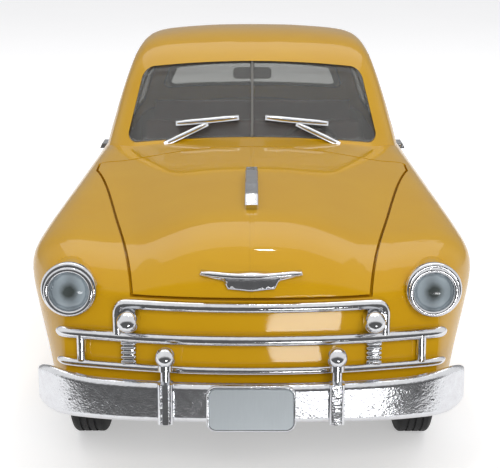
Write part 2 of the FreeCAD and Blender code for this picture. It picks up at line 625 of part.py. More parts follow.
BUMPER_BOTTOM = 13.5
BUMPER_TOP = 20.3
BUMPER_THICKNESS = 1.5
BUMPER_ROLL = 1.1           # radius of the blade's rolled edges
BUMPER_HALF_WIDTH = 36.6
BUMPER_WRAP = 8.6           # the blade's ends run this far back
BUMPER_END_RISE = 1.4        # of the blade's upper edge towards its ends
BUMPER_END_ROUND = 1.3       # how far the ends are drawn in above and below
BUMPER_END_LENGTH = 0.08     # share of the half width over which they are drawn in
BUMPER_FACE = 1.1           # from the guards' face to the blade
GUARD_X = 14.2
GUARD_WIDTH = 2.6
GUARD_DEPTH = 2.6
GUARD_FOOT_HEIGHT = 7.0     # of the wide part below the neck
GUARD_NECK_RADIUS = 0.9
GUARD_COLLAR_RADIUS = 1.25
GUARD_COLLAR_HEIGHT = 0.5
GUARD_KNOB_HEIGHT = 25.0    # of the knob's centre
GUARD_KNOB_RADIUS = 1.7
GUARD_FLUTES = (-0.65, 0.65)     # upright grooves in the wide part
GUARD_FLUTE_RADIUS = 0.22
PLATE_HALF_WIDTH = 6.94
PLATE_HEIGHTS = (13.0, 20.0)
PLATE_THICKNESS = 0.9
PLATE_CORNER = 1.2
BRACKET_WIDTH = 3.0
BRACKET_HEIGHTS = (15.6, 18.4)


def front_layer(outline, height):
    """A raised piece on the nose, from its outline seen from the front."""
    return on_the_body(front_plate(outline, (FRONT_Y, FRONT_Y + LENGTH / 5)), height)


def bar_prism(heights, end):
    """A long bar as a prism, drooping a little towards its round ends."""
    low, high = heights
    y = (FRONT_Y, FRONT_Y + LENGTH / 5)
    round_x = end - (high - low) / 2
    tip = Part.Arc(Vector(round_x, y[0], low - BAR_DROOP),
                   Vector(end, y[0], (low + high) / 2 - BAR_DROOP),
                   Vector(round_x, y[0], high - BAR_DROOP)).toShape()
    far_tip = mirrored(tip)
    under = Part.Arc(Vector(-round_x, y[0], low - BAR_DROOP), Vector(0, y[0], low),
                     Vector(round_x, y[0], low - BAR_DROOP)).toShape()
    over = Part.Arc(Vector(-round_x, y[0], high - BAR_DROOP), Vector(0, y[0], high),
                    Vector(round_x, y[0], high - BAR_DROOP)).toShape()
    face = Part.Face(Part.Wire(Part.__sortEdges__([under, tip, over, far_tip])))
    return face.extrude(Vector(0, y[1] - y[0], 0))


def stepped(prism_at):
    """A bar on the nose whose crest stands further out than its edges."""
    edge = on_the_body(prism_at(0), GRILLE_DEPTH - BAR_EDGE)
    return edge.fuse(on_the_body(prism_at(BAR_EDGE), GRILLE_DEPTH))


def grille_bar(heights, end):
    """A long bar across the nose."""
    return on_the_body(bar_prism(heights, end), GRILLE_DEPTH)


def arch_prism(inset):
    """The arched upper bar as a prism, each edge drawn in by an inset."""
    low, high = UPPER_BAR
    bar = high - low
    foot = MIDDLE_BAR[1] - BAR_DROOP
    y = (FRONT_Y, FRONT_Y + LENGTH / 5)
    outer_end, inner_end = UPPER_BAR_END - inset, UPPER_BAR_END - bar + inset
    outer = front_plate([(-outer_end, foot), (outer_end, foot), (outer_end, high - inset),
                         (-outer_end, high - inset)], y)
    inner = front_plate([(-inner_end, foot - 1), (inner_end, foot - 1),
                         (inner_end, low + inset), (-inner_end, low + inset)], y)

    def upper_corners(shape, radius):
        edges = [e for e in along(shape, Vector(0, 1, 0)) if e.BoundBox.ZMin > foot]
        return shape.makeFillet(radius, edges)
    return upper_corners(outer, GRILLE_CORNER + bar - inset).cut(
        upper_corners(inner, GRILLE_CORNER + inset))


def upper_bar():
    """The arched bar under the hood's lip, whose ends come down to the middle bar."""
    lamps = both_sides(parking_lamp_rod(PARKING_LAMP_RADIUS + SEATED, LENGTH / 5))
    middle_bar = grille_bar(MIDDLE_BAR, LONG_BAR_END)
    return largest(stepped(arch_prism).cut(lamps + [middle_bar]))


def ribbed_post():
    """The ribbed post between the middle and the lower bar, on the left."""
    low, high = LOWER_BAR[1] - BAR_DROOP, MIDDLE_BAR[0]
    pitch = (high - low) / POST_RIBS
    half = POST_WIDTH / 2
    core = front_layer([(POST_X - half, low), (POST_X + half, low), (POST_X + half, high),
                        (POST_X - half, high)], GRILLE_DEPTH - 0.7)
    ribs = [front_layer([(POST_X - half, low + pitch * k + 0.15 * pitch),
                         (POST_X + half, low + pitch * k + 0.15 * pitch),
                         (POST_X + half, low + pitch * (k + 0.7)),
                         (POST_X - half, low + pitch * (k + 0.7))], GRILLE_DEPTH)
            for k in range(POST_RIBS)]
    return joined([core] + ribs)


def outer_post():
    """The plain post near the left ends of the long bars."""
    half = OUTER_POST_WIDTH / 2
    low = LOWER_BAR[1] - 2 * BAR_DROOP
    return front_layer([(OUTER_POST_X - half, low), (OUTER_POST_X + half, low),
                        (OUTER_POST_X + half, MIDDLE_BAR[0]),
                        (OUTER_POST_X - half, MIDDLE_BAR[0])], GRILLE_DEPTH - 0.5)


def lower_grille():
    """The lower bar and the four posts that stand on it."""
    posts = both_sides(ribbed_post()) + both_sides(outer_post())
    bar = grille_bar(LOWER_BAR, LONG_BAR_END).fuse(posts)
    return largest(bar.cut(grille_bar(MIDDLE_BAR, LONG_BAR_END)))


def parking_lamp_rod(radius, depth):
    """A round bar along the left parking lamp's axis."""
    front = FRONT_Y + BUMPER_SETBACK - PARKING_LAMP_LENGTH
    return rod((PARKING_LAMP_X, front, PARKING_LAMP_Z),
               (PARKING_LAMP_X, front + depth, PARKING_LAMP_Z), radius)


def parking_lamp():
    """The round parking lamp between the upper and the middle bar, on the left."""
    front = FRONT_Y + BUMPER_SETBACK - PARKING_LAMP_LENGTH
    body = parking_lamp_rod(PARKING_LAMP_RADIUS, 3 * PARKING_LAMP_LENGTH)
    nose = Part.makeSphere(PARKING_LAMP_RADIUS, Vector(PARKING_LAMP_X, front, PARKING_LAMP_Z))
    lamp = body.fuse(nose).removeSplitter().cut(hull(-SEATED))
    return largest(lamp)


def largest(shape):
    """The biggest solid of a shape."""
    return max(shape.Solids, key=lambda solid: solid.Volume)


def blade_section(x, back, low, high):
    """The closed outline of the bumper blade at one place along it, with rolled edges."""
    face = FRONT_Y + BUMPER_FACE + back
    rear = face + BUMPER_THICKNESS
    roll = BUMPER_ROLL
    lean = roll * (1 - math.sqrt(0.5))

    def at(y, z):
        return Vector(x, y, z)
    return Part.Wire([
        Part.makeLine(at(face, low + roll), at(face, high - roll)),
        Part.Arc(at(face, high - roll), at(face + lean, high - lean),
                 at(face + roll, high)).toShape(),
        Part.makeLine(at(face + roll, high), at(rear, high)),
        Part.makeLine(at(rear, high), at(rear, low)),
        Part.makeLine(at(rear, low), at(face + roll, low)),
        Part.Arc(at(face + roll, low), at(face + lean, low + lean),
                 at(face, low + roll)).toShape()])


def bumper(body):
    """A bumper's blade with two brackets that end on the body."""
    left = (0.3, 0.6, 0.8, 1 - BUMPER_END_LENGTH, 1 - BUMPER_END_LENGTH / 3, 1)
    sections = []
    for share in [-s for s in reversed(left)] + [0] + list(left):
        reach = abs(share)
        back = BUMPER_WRAP * (0.35 * reach ** 2 + 0.65 * reach ** 8)
        drawn = BUMPER_END_ROUND * max(0, 1 - (1 - reach) / BUMPER_END_LENGTH) ** 2
        high = BUMPER_TOP + BUMPER_END_RISE * reach ** 3 - drawn
        sections.append(blade_section(share * BUMPER_HALF_WIDTH, back, BUMPER_BOTTOM + drawn,
                                      high))
    blade = Part.makeLoft(sections, True)
    inner = GUARD_X - BRACKET_WIDTH / 2
    back_y = FRONT_Y + BUMPER_FACE + BUMPER_THICKNESS
    bracket = box((inner, inner + BRACKET_WIDTH), (back_y, back_y + 3 * BUMPER_SETBACK),
                  BRACKET_HEIGHTS).cut(body)
    bracket = min(bracket.Solids, key=lambda solid: solid.BoundBox.YMin)
    return joined([blade] + both_sides(bracket))


def guard(blade):
    """The left bumper guard: a fluted foot on the blade, and a neck with a round knob."""
    low = BUMPER_BOTTOM + CLEAR
    high = low + GUARD_FOOT_HEIGHT
    foot = box((GUARD_X - GUARD_WIDTH / 2, GUARD_X + GUARD_WIDTH / 2),
               (FRONT_Y, FRONT_Y + GUARD_DEPTH), (low, high))
    foot = rounded(foot, Vector(0, 0, 1), 0.7)
    flutes = [rod((GUARD_X + x, FRONT_Y, 0), (GUARD_X + x, FRONT_Y, REACH), GUARD_FLUTE_RADIUS)
              for x in GUARD_FLUTES]
    y = FRONT_Y + GUARD_KNOB_RADIUS
    neck = rod((GUARD_X, y, high - 1), (GUARD_X, y, GUARD_KNOB_HEIGHT), GUARD_NECK_RADIUS)
    under_knob = GUARD_KNOB_HEIGHT - GUARD_KNOB_RADIUS
    collar = rod((GUARD_X, y, under_knob - GUARD_COLLAR_HEIGHT),
                 (GUARD_X, y, under_knob + GUARD_COLLAR_HEIGHT), GUARD_COLLAR_RADIUS)
    knob = Part.makeSphere(GUARD_KNOB_RADIUS, Vector(GUARD_X, y, GUARD_KNOB_HEIGHT))
    return largest(joined([foot.cut(flutes), neck, collar, knob]).cut(blade))


def number_plate():
    """The blank number plate on a bumper."""
    plate = box((-PLATE_HALF_WIDTH, PLATE_HALF_WIDTH), (FRONT_Y, FRONT_Y + PLATE_THICKNESS),
                PLATE_HEIGHTS)
    return rounded(plate, Vector(0, 1, 0), PLATE_CORNER)


def at_the_rear(shape):
    """The same shape at the other end of the car."""
    return shape.mirror(Vector(0, 0, 0), Vector(0, 1, 0))


def rear_bumper():
    """The rear bumper with its two guards in one piece."""
    blade = bumper(at_the_rear(hull(-SEATED)))
    return at_the_rear(blade.fuse(both_sides(guard(blade))))


# ---------------------------------------------------------------- trim
BADGE = ((0, 38.5), (4.2, 38.3), (8.4, 38.6), (8.5, 38.1), (4.6, 37.3), (3.9, 35.9), (0, 35.5))
BADGE_HEIGHT = 0.9
ORNAMENT_WIDTH = 2.4
ORNAMENT = ((22.5, 42.0), (22.0, 46.4), (24.0, 48.0), (29.0, 49.1), (37.0, 49.8), (41.0, 49.6),
            (42.5, 48.8), (42.5, 46.0))
WIPER_ARM = ((18.6, 48.3), (9.4, 52.4))
WIPER_BLADE = ((16.3, 52.2), (2.8, 53.6))
WIPER_THICKNESS = 0.85
WIPER_PIVOT_RADIUS = 1.0
WIPER_PIVOT_DEPTH = 3.0
HANDLE = ((4.5, 10.5), (41.2, 42.3))
HANDLE_HEIGHT = 1.1


def badge():
    """A plain winged bar on the front of the hood."""
    other = [(-x, z) for x, z in reversed(BADGE[1:-1])]
    return front_layer(list(BADGE) + other, BADGE_HEIGHT)


def ornament():
    """The slim bar along the middle of the hood."""
    outline = [(FRONT_Y + place, z) for place, z in ORNAMENT]
    fin = side_plate(outline, (-ORNAMENT_WIDTH / 2, ORNAMENT_WIDTH / 2))
    fin = fin.makeFillet(0.4, [e for e in fin.Edges if e.BoundBox.XLength < 1e-6
                              and e.BoundBox.ZMax > COWL_HEIGHT - 4])
    return largest(fin.cut(hull(-SEATED)))


def strip(start, end, width):
    """A straight strip between two points, as an outline seen from the front."""
    (x0, z0), (x1, z1) = start, end
    length = math.hypot(x1 - x0, z1 - z0)
    dx, dz = -(z1 - z0) / length * width / 2, (x1 - x0) / length * width / 2
    return [(x0 + dx, z0 + dz), (x1 + dx, z1 + dz), (x1 - dx, z1 - dz), (x0 - dx, z0 - dz)]


def wiper():
    """The left wiper: its blade and arm lie on the windshield."""
    y = (NOSE_Y, 0)
    outline = [front_plate(strip(*line, WIPER_THICKNESS), y) for line in (WIPER_BLADE, WIPER_ARM)]
    skin = [cabin(GLASS_SET - SEATED), cabin(-SEATED).cut(window_prisms(0)[0]), hull(-SEATED)]
    lying = largest(joined(outline).common(cabin(-WIPER_THICKNESS)).cut(skin))
    (foot_x, foot_z), _ = WIPER_ARM
    foot_y = lying.BoundBox.YMin + WIPER_PIVOT_RADIUS
    pivot = rod((foot_x, foot_y, foot_z - WIPER_PIVOT_DEPTH), (foot_x, foot_y, foot_z + 1.0),
                WIPER_PIVOT_RADIUS)
    return largest(lying.fuse(pivot.cut(skin)))


def door_handle():
    """The left door handle."""
    (front, rear), (low, high) = HANDLE
    bar = box((0, REACH), (front, rear), (low, high))
    return on_the_body(bar, HANDLE_HEIGHT)


# ---------------------------------------------------------------- wheels and axles
TYRE_BULGE = 1.0            # how far the sidewall rounds in towards the tread
TREAD_GROOVES = (-1.3, 0.0, 1.3)
GROOVE_WIDTH = 0.4
GROOVE_DEPTH = 0.3
HUBCAP_RADIUS = 5.6
HUB_RADIUS = 2.2
RIM_LIP = 0.9
AXLE_GRIP = 2.4             # length of axle held in each wheel


def tyre(x, y):
    """A tyre of revolution with a rounded shoulder and three tread grooves."""
    half, shoulder = TYRE_WIDTH / 2, TYRE_RADIUS - TYRE_BULGE
    side_r = (RIM_RADIUS + shoulder) / 2

    def at(radius, across):
        return Vector(x + across, y, AXLE_Z + radius)
    tread = half - TYRE_BULGE - 0.2
    edges = [Part.makeLine(at(RIM_RADIUS, -half + 0.5), at(RIM_RADIUS, half - 0.5)),
             Part.Arc(at(RIM_RADIUS, half - 0.5), at(side_r, half),
                      at(shoulder, half - 0.4)).toShape(),
             Part.Arc(at(shoulder, half - 0.4), at(TYRE_RADIUS - 0.25, half - 0.8),
                      at(TYRE_RADIUS, tread)).toShape()]
    line = [at(TYRE_RADIUS, tread)]
    for middle in reversed(TREAD_GROOVES):
        line += [at(TYRE_RADIUS, middle + GROOVE_WIDTH / 2),
                 at(TYRE_RADIUS - GROOVE_DEPTH, middle + GROOVE_WIDTH / 2),
                 at(TYRE_RADIUS - GROOVE_DEPTH, middle - GROOVE_WIDTH / 2),
                 at(TYRE_RADIUS, middle - GROOVE_WIDTH / 2)]
    line.append(at(TYRE_RADIUS, -tread))
    edges += Part.makePolygon(line).Edges
    edges += [Part.Arc(at(TYRE_RADIUS, -tread), at(TYRE_RADIUS - 0.25, -half + 0.8),
                       at(shoulder, -half + 0.4)).toShape(),
              Part.Arc(at(shoulder, -half + 0.4), at(side_r, -half),
                       at(RIM_RADIUS, -half + 0.5)).toShape()]
    return Part.Face(Part.Wire(edges)).revolve(Vector(x, y, AXLE_Z), Vector(1, 0, 0), 360)


def wheel(x, y):
    """A plated wheel with its domed hubcap, for the left side."""
    half = TYRE_WIDTH / 2 - 0.5
    inner_face = -TYRE_WIDTH / 2
    outline = [(0, half + 0.7), (0.45 * HUBCAP_RADIUS, half + 0.55),
               (0.8 * HUBCAP_RADIUS, half + 0.1), (HUBCAP_RADIUS, half - 0.8),
               (HUBCAP_RADIUS, half - 1.7), (RIM_RADIUS - 2 * RIM_LIP, half - 1.9),
               (RIM_RADIUS - RIM_LIP, half), (RIM_RADIUS, half), (RIM_RADIUS, -half),
               (RIM_RADIUS - RIM_LIP, -half), (RIM_RADIUS - RIM_LIP, half - 3.2),
               (HUB_RADIUS, half - 3.2), (HUB_RADIUS, inner_face),
               (AXLE_RADIUS, inner_face), (AXLE_RADIUS, inner_face + AXLE_GRIP),
               (0, inner_face + AXLE_GRIP)]
    return turned(outline, (x, y, AXLE_Z))


def axle(track, y):
    """An axle that ends inside both wheels' hubs."""
    reach = track / 2 - TYRE_WIDTH / 2 + AXLE_GRIP
    return rod((-reach, y, AXLE_Z), (reach, y, AXLE_Z), AXLE_RADIUS)


# ---------------------------------------------------------------- friction motor
MODULE = 0.5
WHEEL_TEETH = 30
PINION_TEETH = 10
BACKLASH = 0.12
IDLER_ANGLE = 120.0         # of the idler about the axle, from the rear towards the roof
FLYWHEEL_ANGLE = 170.0      # of the flywheel about the idler
GEAR_WIDTH = 2.6
MOTOR_SHAFT_RADIUS = 0.75
FLYWHEEL_RADIUS = 8.4
FLYWHEEL_WIDTH = 5.0
MOTOR_HALF_WIDTH = 9.0      # over the frame's plates
FRAME_PLATE = 0.8
FRAME_BOSS_RADIUS = 3.0
FRAME_SPACER_RADIUS = 1.0
FRAME_FOOT = (-19.0, 11.0)  # the frame's foot, from the rear axle
FRAME_FOOT_HEIGHT = 3.6
AXLE_GEAR_X = 6.0           # middles of the gear planes
IDLER_GEAR_X = 2.2
FLYWHEEL_X = -4.4
CENTRE_DISTANCE = MODULE * (WHEEL_TEETH + PINION_TEETH) / 2


def polar(start, angle, distance):
    """The (y, z) point at an angle, in degrees from +Y towards +Z, and a distance."""
    turn = math.radians(angle)
    return start[0] + distance * math.cos(turn), start[1] + distance * math.sin(turn)


AXLE_AT = (REAR_AXLE_Y, AXLE_Z)
IDLER_AT = polar(AXLE_AT, IDLER_ANGLE, CENTRE_DISTANCE)
FLYWHEEL_AT = polar(IDLER_AT, FLYWHEEL_ANGLE, CENTRE_DISTANCE)


def gear(teeth, at, x, width, tooth_angle, bore):
    """A spur gear with one tooth centred on an angle, with backlash in its teeth."""
    pitch = MODULE * teeth / 2
    tip, root = pitch + 0.9 * MODULE, pitch - 1.1 * MODULE
    quarter = math.degrees((math.pi * MODULE / 2 - BACKLASH) / 2 / pitch)
    flank = ((root, 1.5), (pitch - 0.5 * MODULE, 1.28), (pitch, 1.0), (pitch + 0.5 * MODULE, 0.72),
             (tip, 0.42))
    points = []
    for tooth in range(teeth):
        centre = tooth_angle + 360.0 * tooth / teeth
        for radius, share in flank:
            points.append(polar(at, centre - quarter * share, radius))
        for radius, share in reversed(flank):
            points.append(polar(at, centre + quarter * share, radius))
    blank = side_plate(points, (x - width / 2, x + width / 2))
    return blank.cut(rod((x - width, *at), (x + width, *at), bore))


def shaft(at, radius):
    """A motor shaft that ends flush with the outside of the frame's plates."""
    return rod((-MOTOR_HALF_WIDTH, *at), (MOTOR_HALF_WIDTH, *at), radius)


def axle_gear():
    return gear(WHEEL_TEETH, AXLE_AT, AXLE_GEAR_X, GEAR_WIDTH, IDLER_ANGLE, AXLE_RADIUS)


def idler_gear():
    """The idler's pinion and wheel, moulded in one piece."""
    gap = IDLER_ANGLE + 180 + 180 / PINION_TEETH
    pinion_end = AXLE_GEAR_X + GEAR_WIDTH / 2
    wheel_end = IDLER_GEAR_X + GEAR_WIDTH / 2
    pinion = gear(PINION_TEETH, IDLER_AT, (pinion_end + wheel_end) / 2, pinion_end - wheel_end,
                  gap, MOTOR_SHAFT_RADIUS)
    large = gear(WHEEL_TEETH, IDLER_AT, IDLER_GEAR_X, GEAR_WIDTH, FLYWHEEL_ANGLE,
                 MOTOR_SHAFT_RADIUS)
    return large.fuse(pinion)


def flywheel_shaft():
    """The flywheel's shaft with the pinion cut on it."""
    gap = FLYWHEEL_ANGLE + 180 + 180 / PINION_TEETH
    pinion = gear(PINION_TEETH, FLYWHEEL_AT, IDLER_GEAR_X, GEAR_WIDTH + 1, gap,
                  MOTOR_SHAFT_RADIUS)
    return shaft(FLYWHEEL_AT, MOTOR_SHAFT_RADIUS).fuse(pinion)


def flywheel():
    """A steel disc, recessed between its hub and its rim."""
    half, web = FLYWHEEL_WIDTH / 2, 0.3 * FLYWHEEL_WIDTH
    hub, rim = 0.3 * FLYWHEEL_RADIUS, 0.75 * FLYWHEEL_RADIUS
    outline = [(MOTOR_SHAFT_RADIUS, -half), (hub, -half), (hub, -web), (rim, -web),
               (rim, -half), (FLYWHEEL_RADIUS, -half), (FLYWHEEL_RADIUS, half), (rim, half),
               (rim, web), (hub, web), (hub, half), (MOTOR_SHAFT_RADIUS, half)]
    return turned(outline, (FLYWHEEL_X, *FLYWHEEL_AT))


def link(start, end, radius, x):
    """A plate with round ends that joins two (y, z) points."""
    dy, dz = end[0] - start[0], end[1] - start[1]
    length = math.hypot(dy, dz)
    ny, nz = -dz / length * radius, dy / length * radius
    bar = side_plate([(start[0] + ny, start[1] + nz), (end[0] + ny, end[1] + nz),
                      (end[0] - ny, end[1] - nz), (start[0] - ny, start[1] - nz)], x)
    ends = [rod((x[0], *at), (x[1], *at), radius) for at in (start, end)]
    return joined([bar] + ends)


def motor_frame():
    """Two plates held apart by spacers, standing on the base plate."""
    top = BASE_TOP + FRAME_FOOT_HEIGHT
    foot_y = [REAR_AXLE_Y + y for y in FRAME_FOOT]
    x = (MOTOR_HALF_WIDTH - FRAME_PLATE, MOTOR_HALF_WIDTH)
    plate = joined([box(x, foot_y, (BASE_TOP, top)),
                    link(AXLE_AT, IDLER_AT, FRAME_BOSS_RADIUS, x),
                    link(IDLER_AT, FLYWHEEL_AT, FRAME_BOSS_RADIUS, x),
                    link((foot_y[0] + FRAME_BOSS_RADIUS, top), FLYWHEEL_AT,
                         FRAME_BOSS_RADIUS, x)])
    plate = plate.common(box((-REACH, REACH), (-REACH, REACH), (BASE_TOP, REACH)))
    spacers = []
    for y in (foot_y[0] + 1.5, foot_y[1] - 1.5):
        z = BASE_TOP + FRAME_FOOT_HEIGHT / 2
        spacers.append(rod((-x[0], y, z), (x[0], y, z), FRAME_SPACER_RADIUS))
    frame = joined(both_sides(plate) + spacers)
    holes = [shaft(AXLE_AT, AXLE_RADIUS + RUNNING)]
    holes += [shaft(at, MOTOR_SHAFT_RADIUS + RUNNING) for at in (IDLER_AT, FLYWHEEL_AT)]
    return frame.cut(holes)


# ---------------------------------------------------------------- base plate
BASE_BOTTOM = 12.6
BASE_THICKNESS = 1.2
BASE_TOP = BASE_BOTTOM + BASE_THICKNESS
WHEEL_WELL_LENGTH = 36.0
BEARING_X = (19.5, 22.5)
BEARING_HALF_LENGTH = 2.6
BEARING_RISE = 2.6          # of the bearing blocks above the axle's centre
SCREW_INSET = 6.4           # of the screws from the nose and the tail
SCREW_POST_RADIUS = 2.4
SCREW_POST_TOP = 25.0
SCREW_RADIUS = 1.0
SCREW_HEAD_RADIUS = 1.9
SCREW_HEAD_HEIGHT = 0.9     # countersunk into the base plate
SCREW_SLOT = 0.5
SCREW_LENGTH = 7.0
PANEL_HALF_WIDTH = 23.0     # the raised flat panel between the axles
PANEL_Y = (-42.0, 24.0)
PANEL_HEIGHT = 0.4
GEAR_SLOT_CLEARANCE = 1.0
REAR_WELL_INSET = 1.6


def screw_places():
    return [NOSE_Y + SCREW_INSET, TAIL_Y - SCREW_INSET - WALL]


def wheel_wells():
    """The spaces round the four tyres, as cutters."""
    wells = []
    for track, y in ((FRONT_TRACK, FRONT_AXLE_Y), (REAR_TRACK, REAR_AXLE_Y)):
        inner = track / 2 - TYRE_WIDTH / 2 - REAR_WELL_INSET
        half = WHEEL_WELL_LENGTH / 2
        wells += both_sides(box((inner, REACH), (y - half, y + half), (0, 2 * TYRE_DIAMETER)))
    return wells


def base_plate():
    """The flat plate under the car, with the bearing blocks of both axles."""
    plate = hull(WALL + CLEAR).common(box((-REACH, REACH), (-REACH, REACH),
                                          (BASE_BOTTOM, BASE_TOP)))
    plate = plate.cut(wheel_wells())
    slot_half = MODULE * WHEEL_TEETH / 2 + MODULE + GEAR_SLOT_CLEARANCE
    x = (AXLE_GEAR_X - GEAR_WIDTH / 2 - GEAR_SLOT_CLEARANCE,
         AXLE_GEAR_X + GEAR_WIDTH / 2 + GEAR_SLOT_CLEARANCE)
    plate = plate.cut(box(x, (REAR_AXLE_Y - slot_half, REAR_AXLE_Y + slot_half),
                          (0, REACH)))
    blocks = []
    for y in (FRONT_AXLE_Y, REAR_AXLE_Y):
        block = box(BEARING_X, (y - BEARING_HALF_LENGTH, y + BEARING_HALF_LENGTH),
                    (BASE_TOP, AXLE_Z + BEARING_RISE))
        blocks += both_sides(block)
    holes = [rod((-REACH, y, AXLE_Z), (REACH, y, AXLE_Z), AXLE_RADIUS + RUNNING)
             for y in (FRONT_AXLE_Y, REAR_AXLE_Y)]
    holes += [rod((0, y, 0), (0, y, BASE_TOP + 1), SCREW_RADIUS) for y in screw_places()]
    holes += [screw_head(y) for y in screw_places()]
    panel = box((-PANEL_HALF_WIDTH, PANEL_HALF_WIDTH), PANEL_Y,
                (BASE_BOTTOM - PANEL_HEIGHT, BASE_TOP))
    return joined([plate, rounded(panel, Vector(0, 0, 1), 2.0)] + blocks).cut(holes)


def screw_posts():
    """The posts inside the nose and the tail that take the base plate's screws."""
    posts = []
    inside = hull(WALL / 2)
    for y, wall_y in zip(screw_places(), (NOSE_Y, TAIL_Y)):
        post = rod((0, y, BASE_TOP), (0, y, SCREW_POST_TOP), SCREW_POST_RADIUS)
        web = box((-1.0, 1.0), sorted((y, wall_y)), (BASE_TOP, SCREW_POST_TOP))
        pilot = rod((0, y, 0), (0, y, BASE_BOTTOM + SCREW_LENGTH), SCREW_RADIUS)
        posts.append(post.fuse(web).common(inside).cut(pilot))
    return posts


def screw_head(y):
    """A countersunk head, flush with the underside of the base plate."""
    return Part.makeCone(SCREW_HEAD_RADIUS, SCREW_RADIUS, SCREW_HEAD_HEIGHT,
                         Vector(0, y, BASE_BOTTOM), Vector(0, 0, 1))


def base_screws():
    """The two screws that hold the base plate to the body."""
    screws = []
    for y in screw_places():
        slot = box((-REACH, REACH), (y - SCREW_SLOT / 2, y + SCREW_SLOT / 2),
                   (0, BASE_BOTTOM + SCREW_HEAD_HEIGHT / 2))
        shank = rod((0, y, BASE_BOTTOM), (0, y, BASE_BOTTOM + SCREW_LENGTH), SCREW_RADIUS)
        screws.append(screw_head(y).fuse(shank).cut(slot))
    return Part.makeCompound(screws)


# ---------------------------------------------------------------- interior
TUB_WALL = 1.0
TUB_FLOOR = 18.6            # underside of the cabin floor
TUB_FRONT = -29.0           # firewall
TUB_TOP = 45.0              # upper edge of the side panels
REAR_PAN_FRONT = 22.0       # where the floor steps up over the motor
REAR_PAN_HEIGHT = 34.6
REAR_PAN_BACK = 46.0
SHELF_BACK = 60.0
TUB_CLEAR = 0.4             # between the tub and the shell
TUB_FRONT_HALF_WIDTH = 31.5
SEAT_HALF_WIDTH = 26.0
SEAT_ROUND = 1.6
FRONT_SEAT = ((-4.0, 19.6), (-5.0, 27.0), (-3.0, 29.6), (9.5, 28.4), (12.2, 46.4), (15.4, 46.4),
              (15.8, 44.0), (13.4, 19.6))
REAR_SEAT = ((24.0, 35.6), (23.4, 38.6), (25.0, 40.0), (38.0, 38.8), (41.6, 47.2), (44.2, 47.2),
             (44.6, 45.0), (43.4, 35.6))
DASH_HALF_WIDTH = 27.0
DASH = ((-28.0, 36.5), (-28.0, 46.4), (-25.4, 47.4), (-22.6, 46.6), (-21.6, 44.6), (-22.4, 38.0),
        (-24.0, 36.5))
STEERING_X = 13.0
STEERING_HUB = (-13.5, 43.6)     # (y, z) of the steering wheel's hub
STEERING_FOOT = (-22.5, 40.2)    # where the column leaves the dashboard
STEERING_RADIUS = 6.4
STEERING_RIM = 0.55
SPOKES = 3
MIRROR_AT = (-9.0, 60.6)
MIRROR_SIZE = (8.6, 0.9, 2.6)
MIRROR_STEM_RADIUS = 0.5


def tub():
    """The cabin floor, firewall, side panels, rear seat pan and parcel shelf, in one piece."""
    line = [(TUB_FRONT, TUB_FLOOR), (REAR_PAN_FRONT, TUB_FLOOR),
            (REAR_PAN_FRONT, REAR_PAN_HEIGHT), (REAR_PAN_BACK, REAR_PAN_HEIGHT),
            (REAR_PAN_BACK, TUB_TOP - TUB_WALL), (SHELF_BACK, TUB_TOP - TUB_WALL),
            (SHELF_BACK, TUB_TOP)]
    block = side_plate(line + [(TUB_FRONT, TUB_TOP)], (-TUB_FRONT_HALF_WIDTH,
                                                       TUB_FRONT_HALF_WIDTH))
    hollow = [(TUB_FRONT + TUB_WALL, TUB_FLOOR + TUB_WALL),
              (REAR_PAN_FRONT - TUB_WALL, TUB_FLOOR + TUB_WALL),
              (REAR_PAN_FRONT - TUB_WALL, REAR_PAN_HEIGHT + TUB_WALL),
              (REAR_PAN_BACK - TUB_WALL, REAR_PAN_HEIGHT + TUB_WALL),
              (REAR_PAN_BACK - TUB_WALL, TUB_TOP + 1), (TUB_FRONT + TUB_WALL, TUB_TOP + 1)]
    inner_half = TUB_FRONT_HALF_WIDTH - TUB_WALL
    room = side_plate(hollow, (-inner_half, inner_half))
    inside = hull(WALL + TUB_CLEAR)
    narrow = REAR_TRACK / 2 - TYRE_WIDTH / 2 - REAR_WELL_INSET
    low_corner = box((narrow, REACH), (REAR_PAN_FRONT - TUB_WALL * 2, REACH),
                     (0, REAR_PAN_HEIGHT))
    return block.cut(room).common(inside).cut(both_sides(low_corner))


def seat(outline):
    """A bench seat from its side outline, rounded all along."""
    bench = side_plate(outline, (-SEAT_HALF_WIDTH, SEAT_HALF_WIDTH))
    return rounded(bench, Vector(1, 0, 0), 0.9)


def dashboard():
    board = side_plate(DASH, (-DASH_HALF_WIDTH, DASH_HALF_WIDTH))
    board = rounded(board, Vector(1, 0, 0), 0.6)
    pod = rod((STEERING_X, DASH[4][0] - 1.0, 43.6), (STEERING_X, DASH[4][0] + 0.5, 43.6), 2.2)
    room = hull(WALL + TUB_CLEAR).fuse(cabin(WALL + TUB_CLEAR))
    return board.fuse(pod).common(room)


def steering_wheel():
    """The rim, three spokes, hub and column."""
    hub = Vector(STEERING_X, *STEERING_HUB)
    foot = Vector(STEERING_X, *STEERING_FOOT)
    run = hub - foot
    ring = Part.makeTorus(STEERING_RADIUS, STEERING_RIM, hub, run)
    column = Part.makeCylinder(0.8, run.Length + 0.8, foot, run)
    spokes = []
    lean = math.degrees(math.atan2(run.z, run.y))
    for k in range(SPOKES):
        spoke = rod((0, 0, 0), (STEERING_RADIUS, 0, 0), 0.4)
        spoke.rotate(Vector(0, 0, 0), Vector(0, 1, 0), 360.0 * k / SPOKES + 90)
        spoke.rotate(Vector(0, 0, 0), Vector(1, 0, 0), lean)
        spoke.translate(hub)
        spokes.append(spoke)
    return ring.fuse([column] + spokes).cut(dashboard())


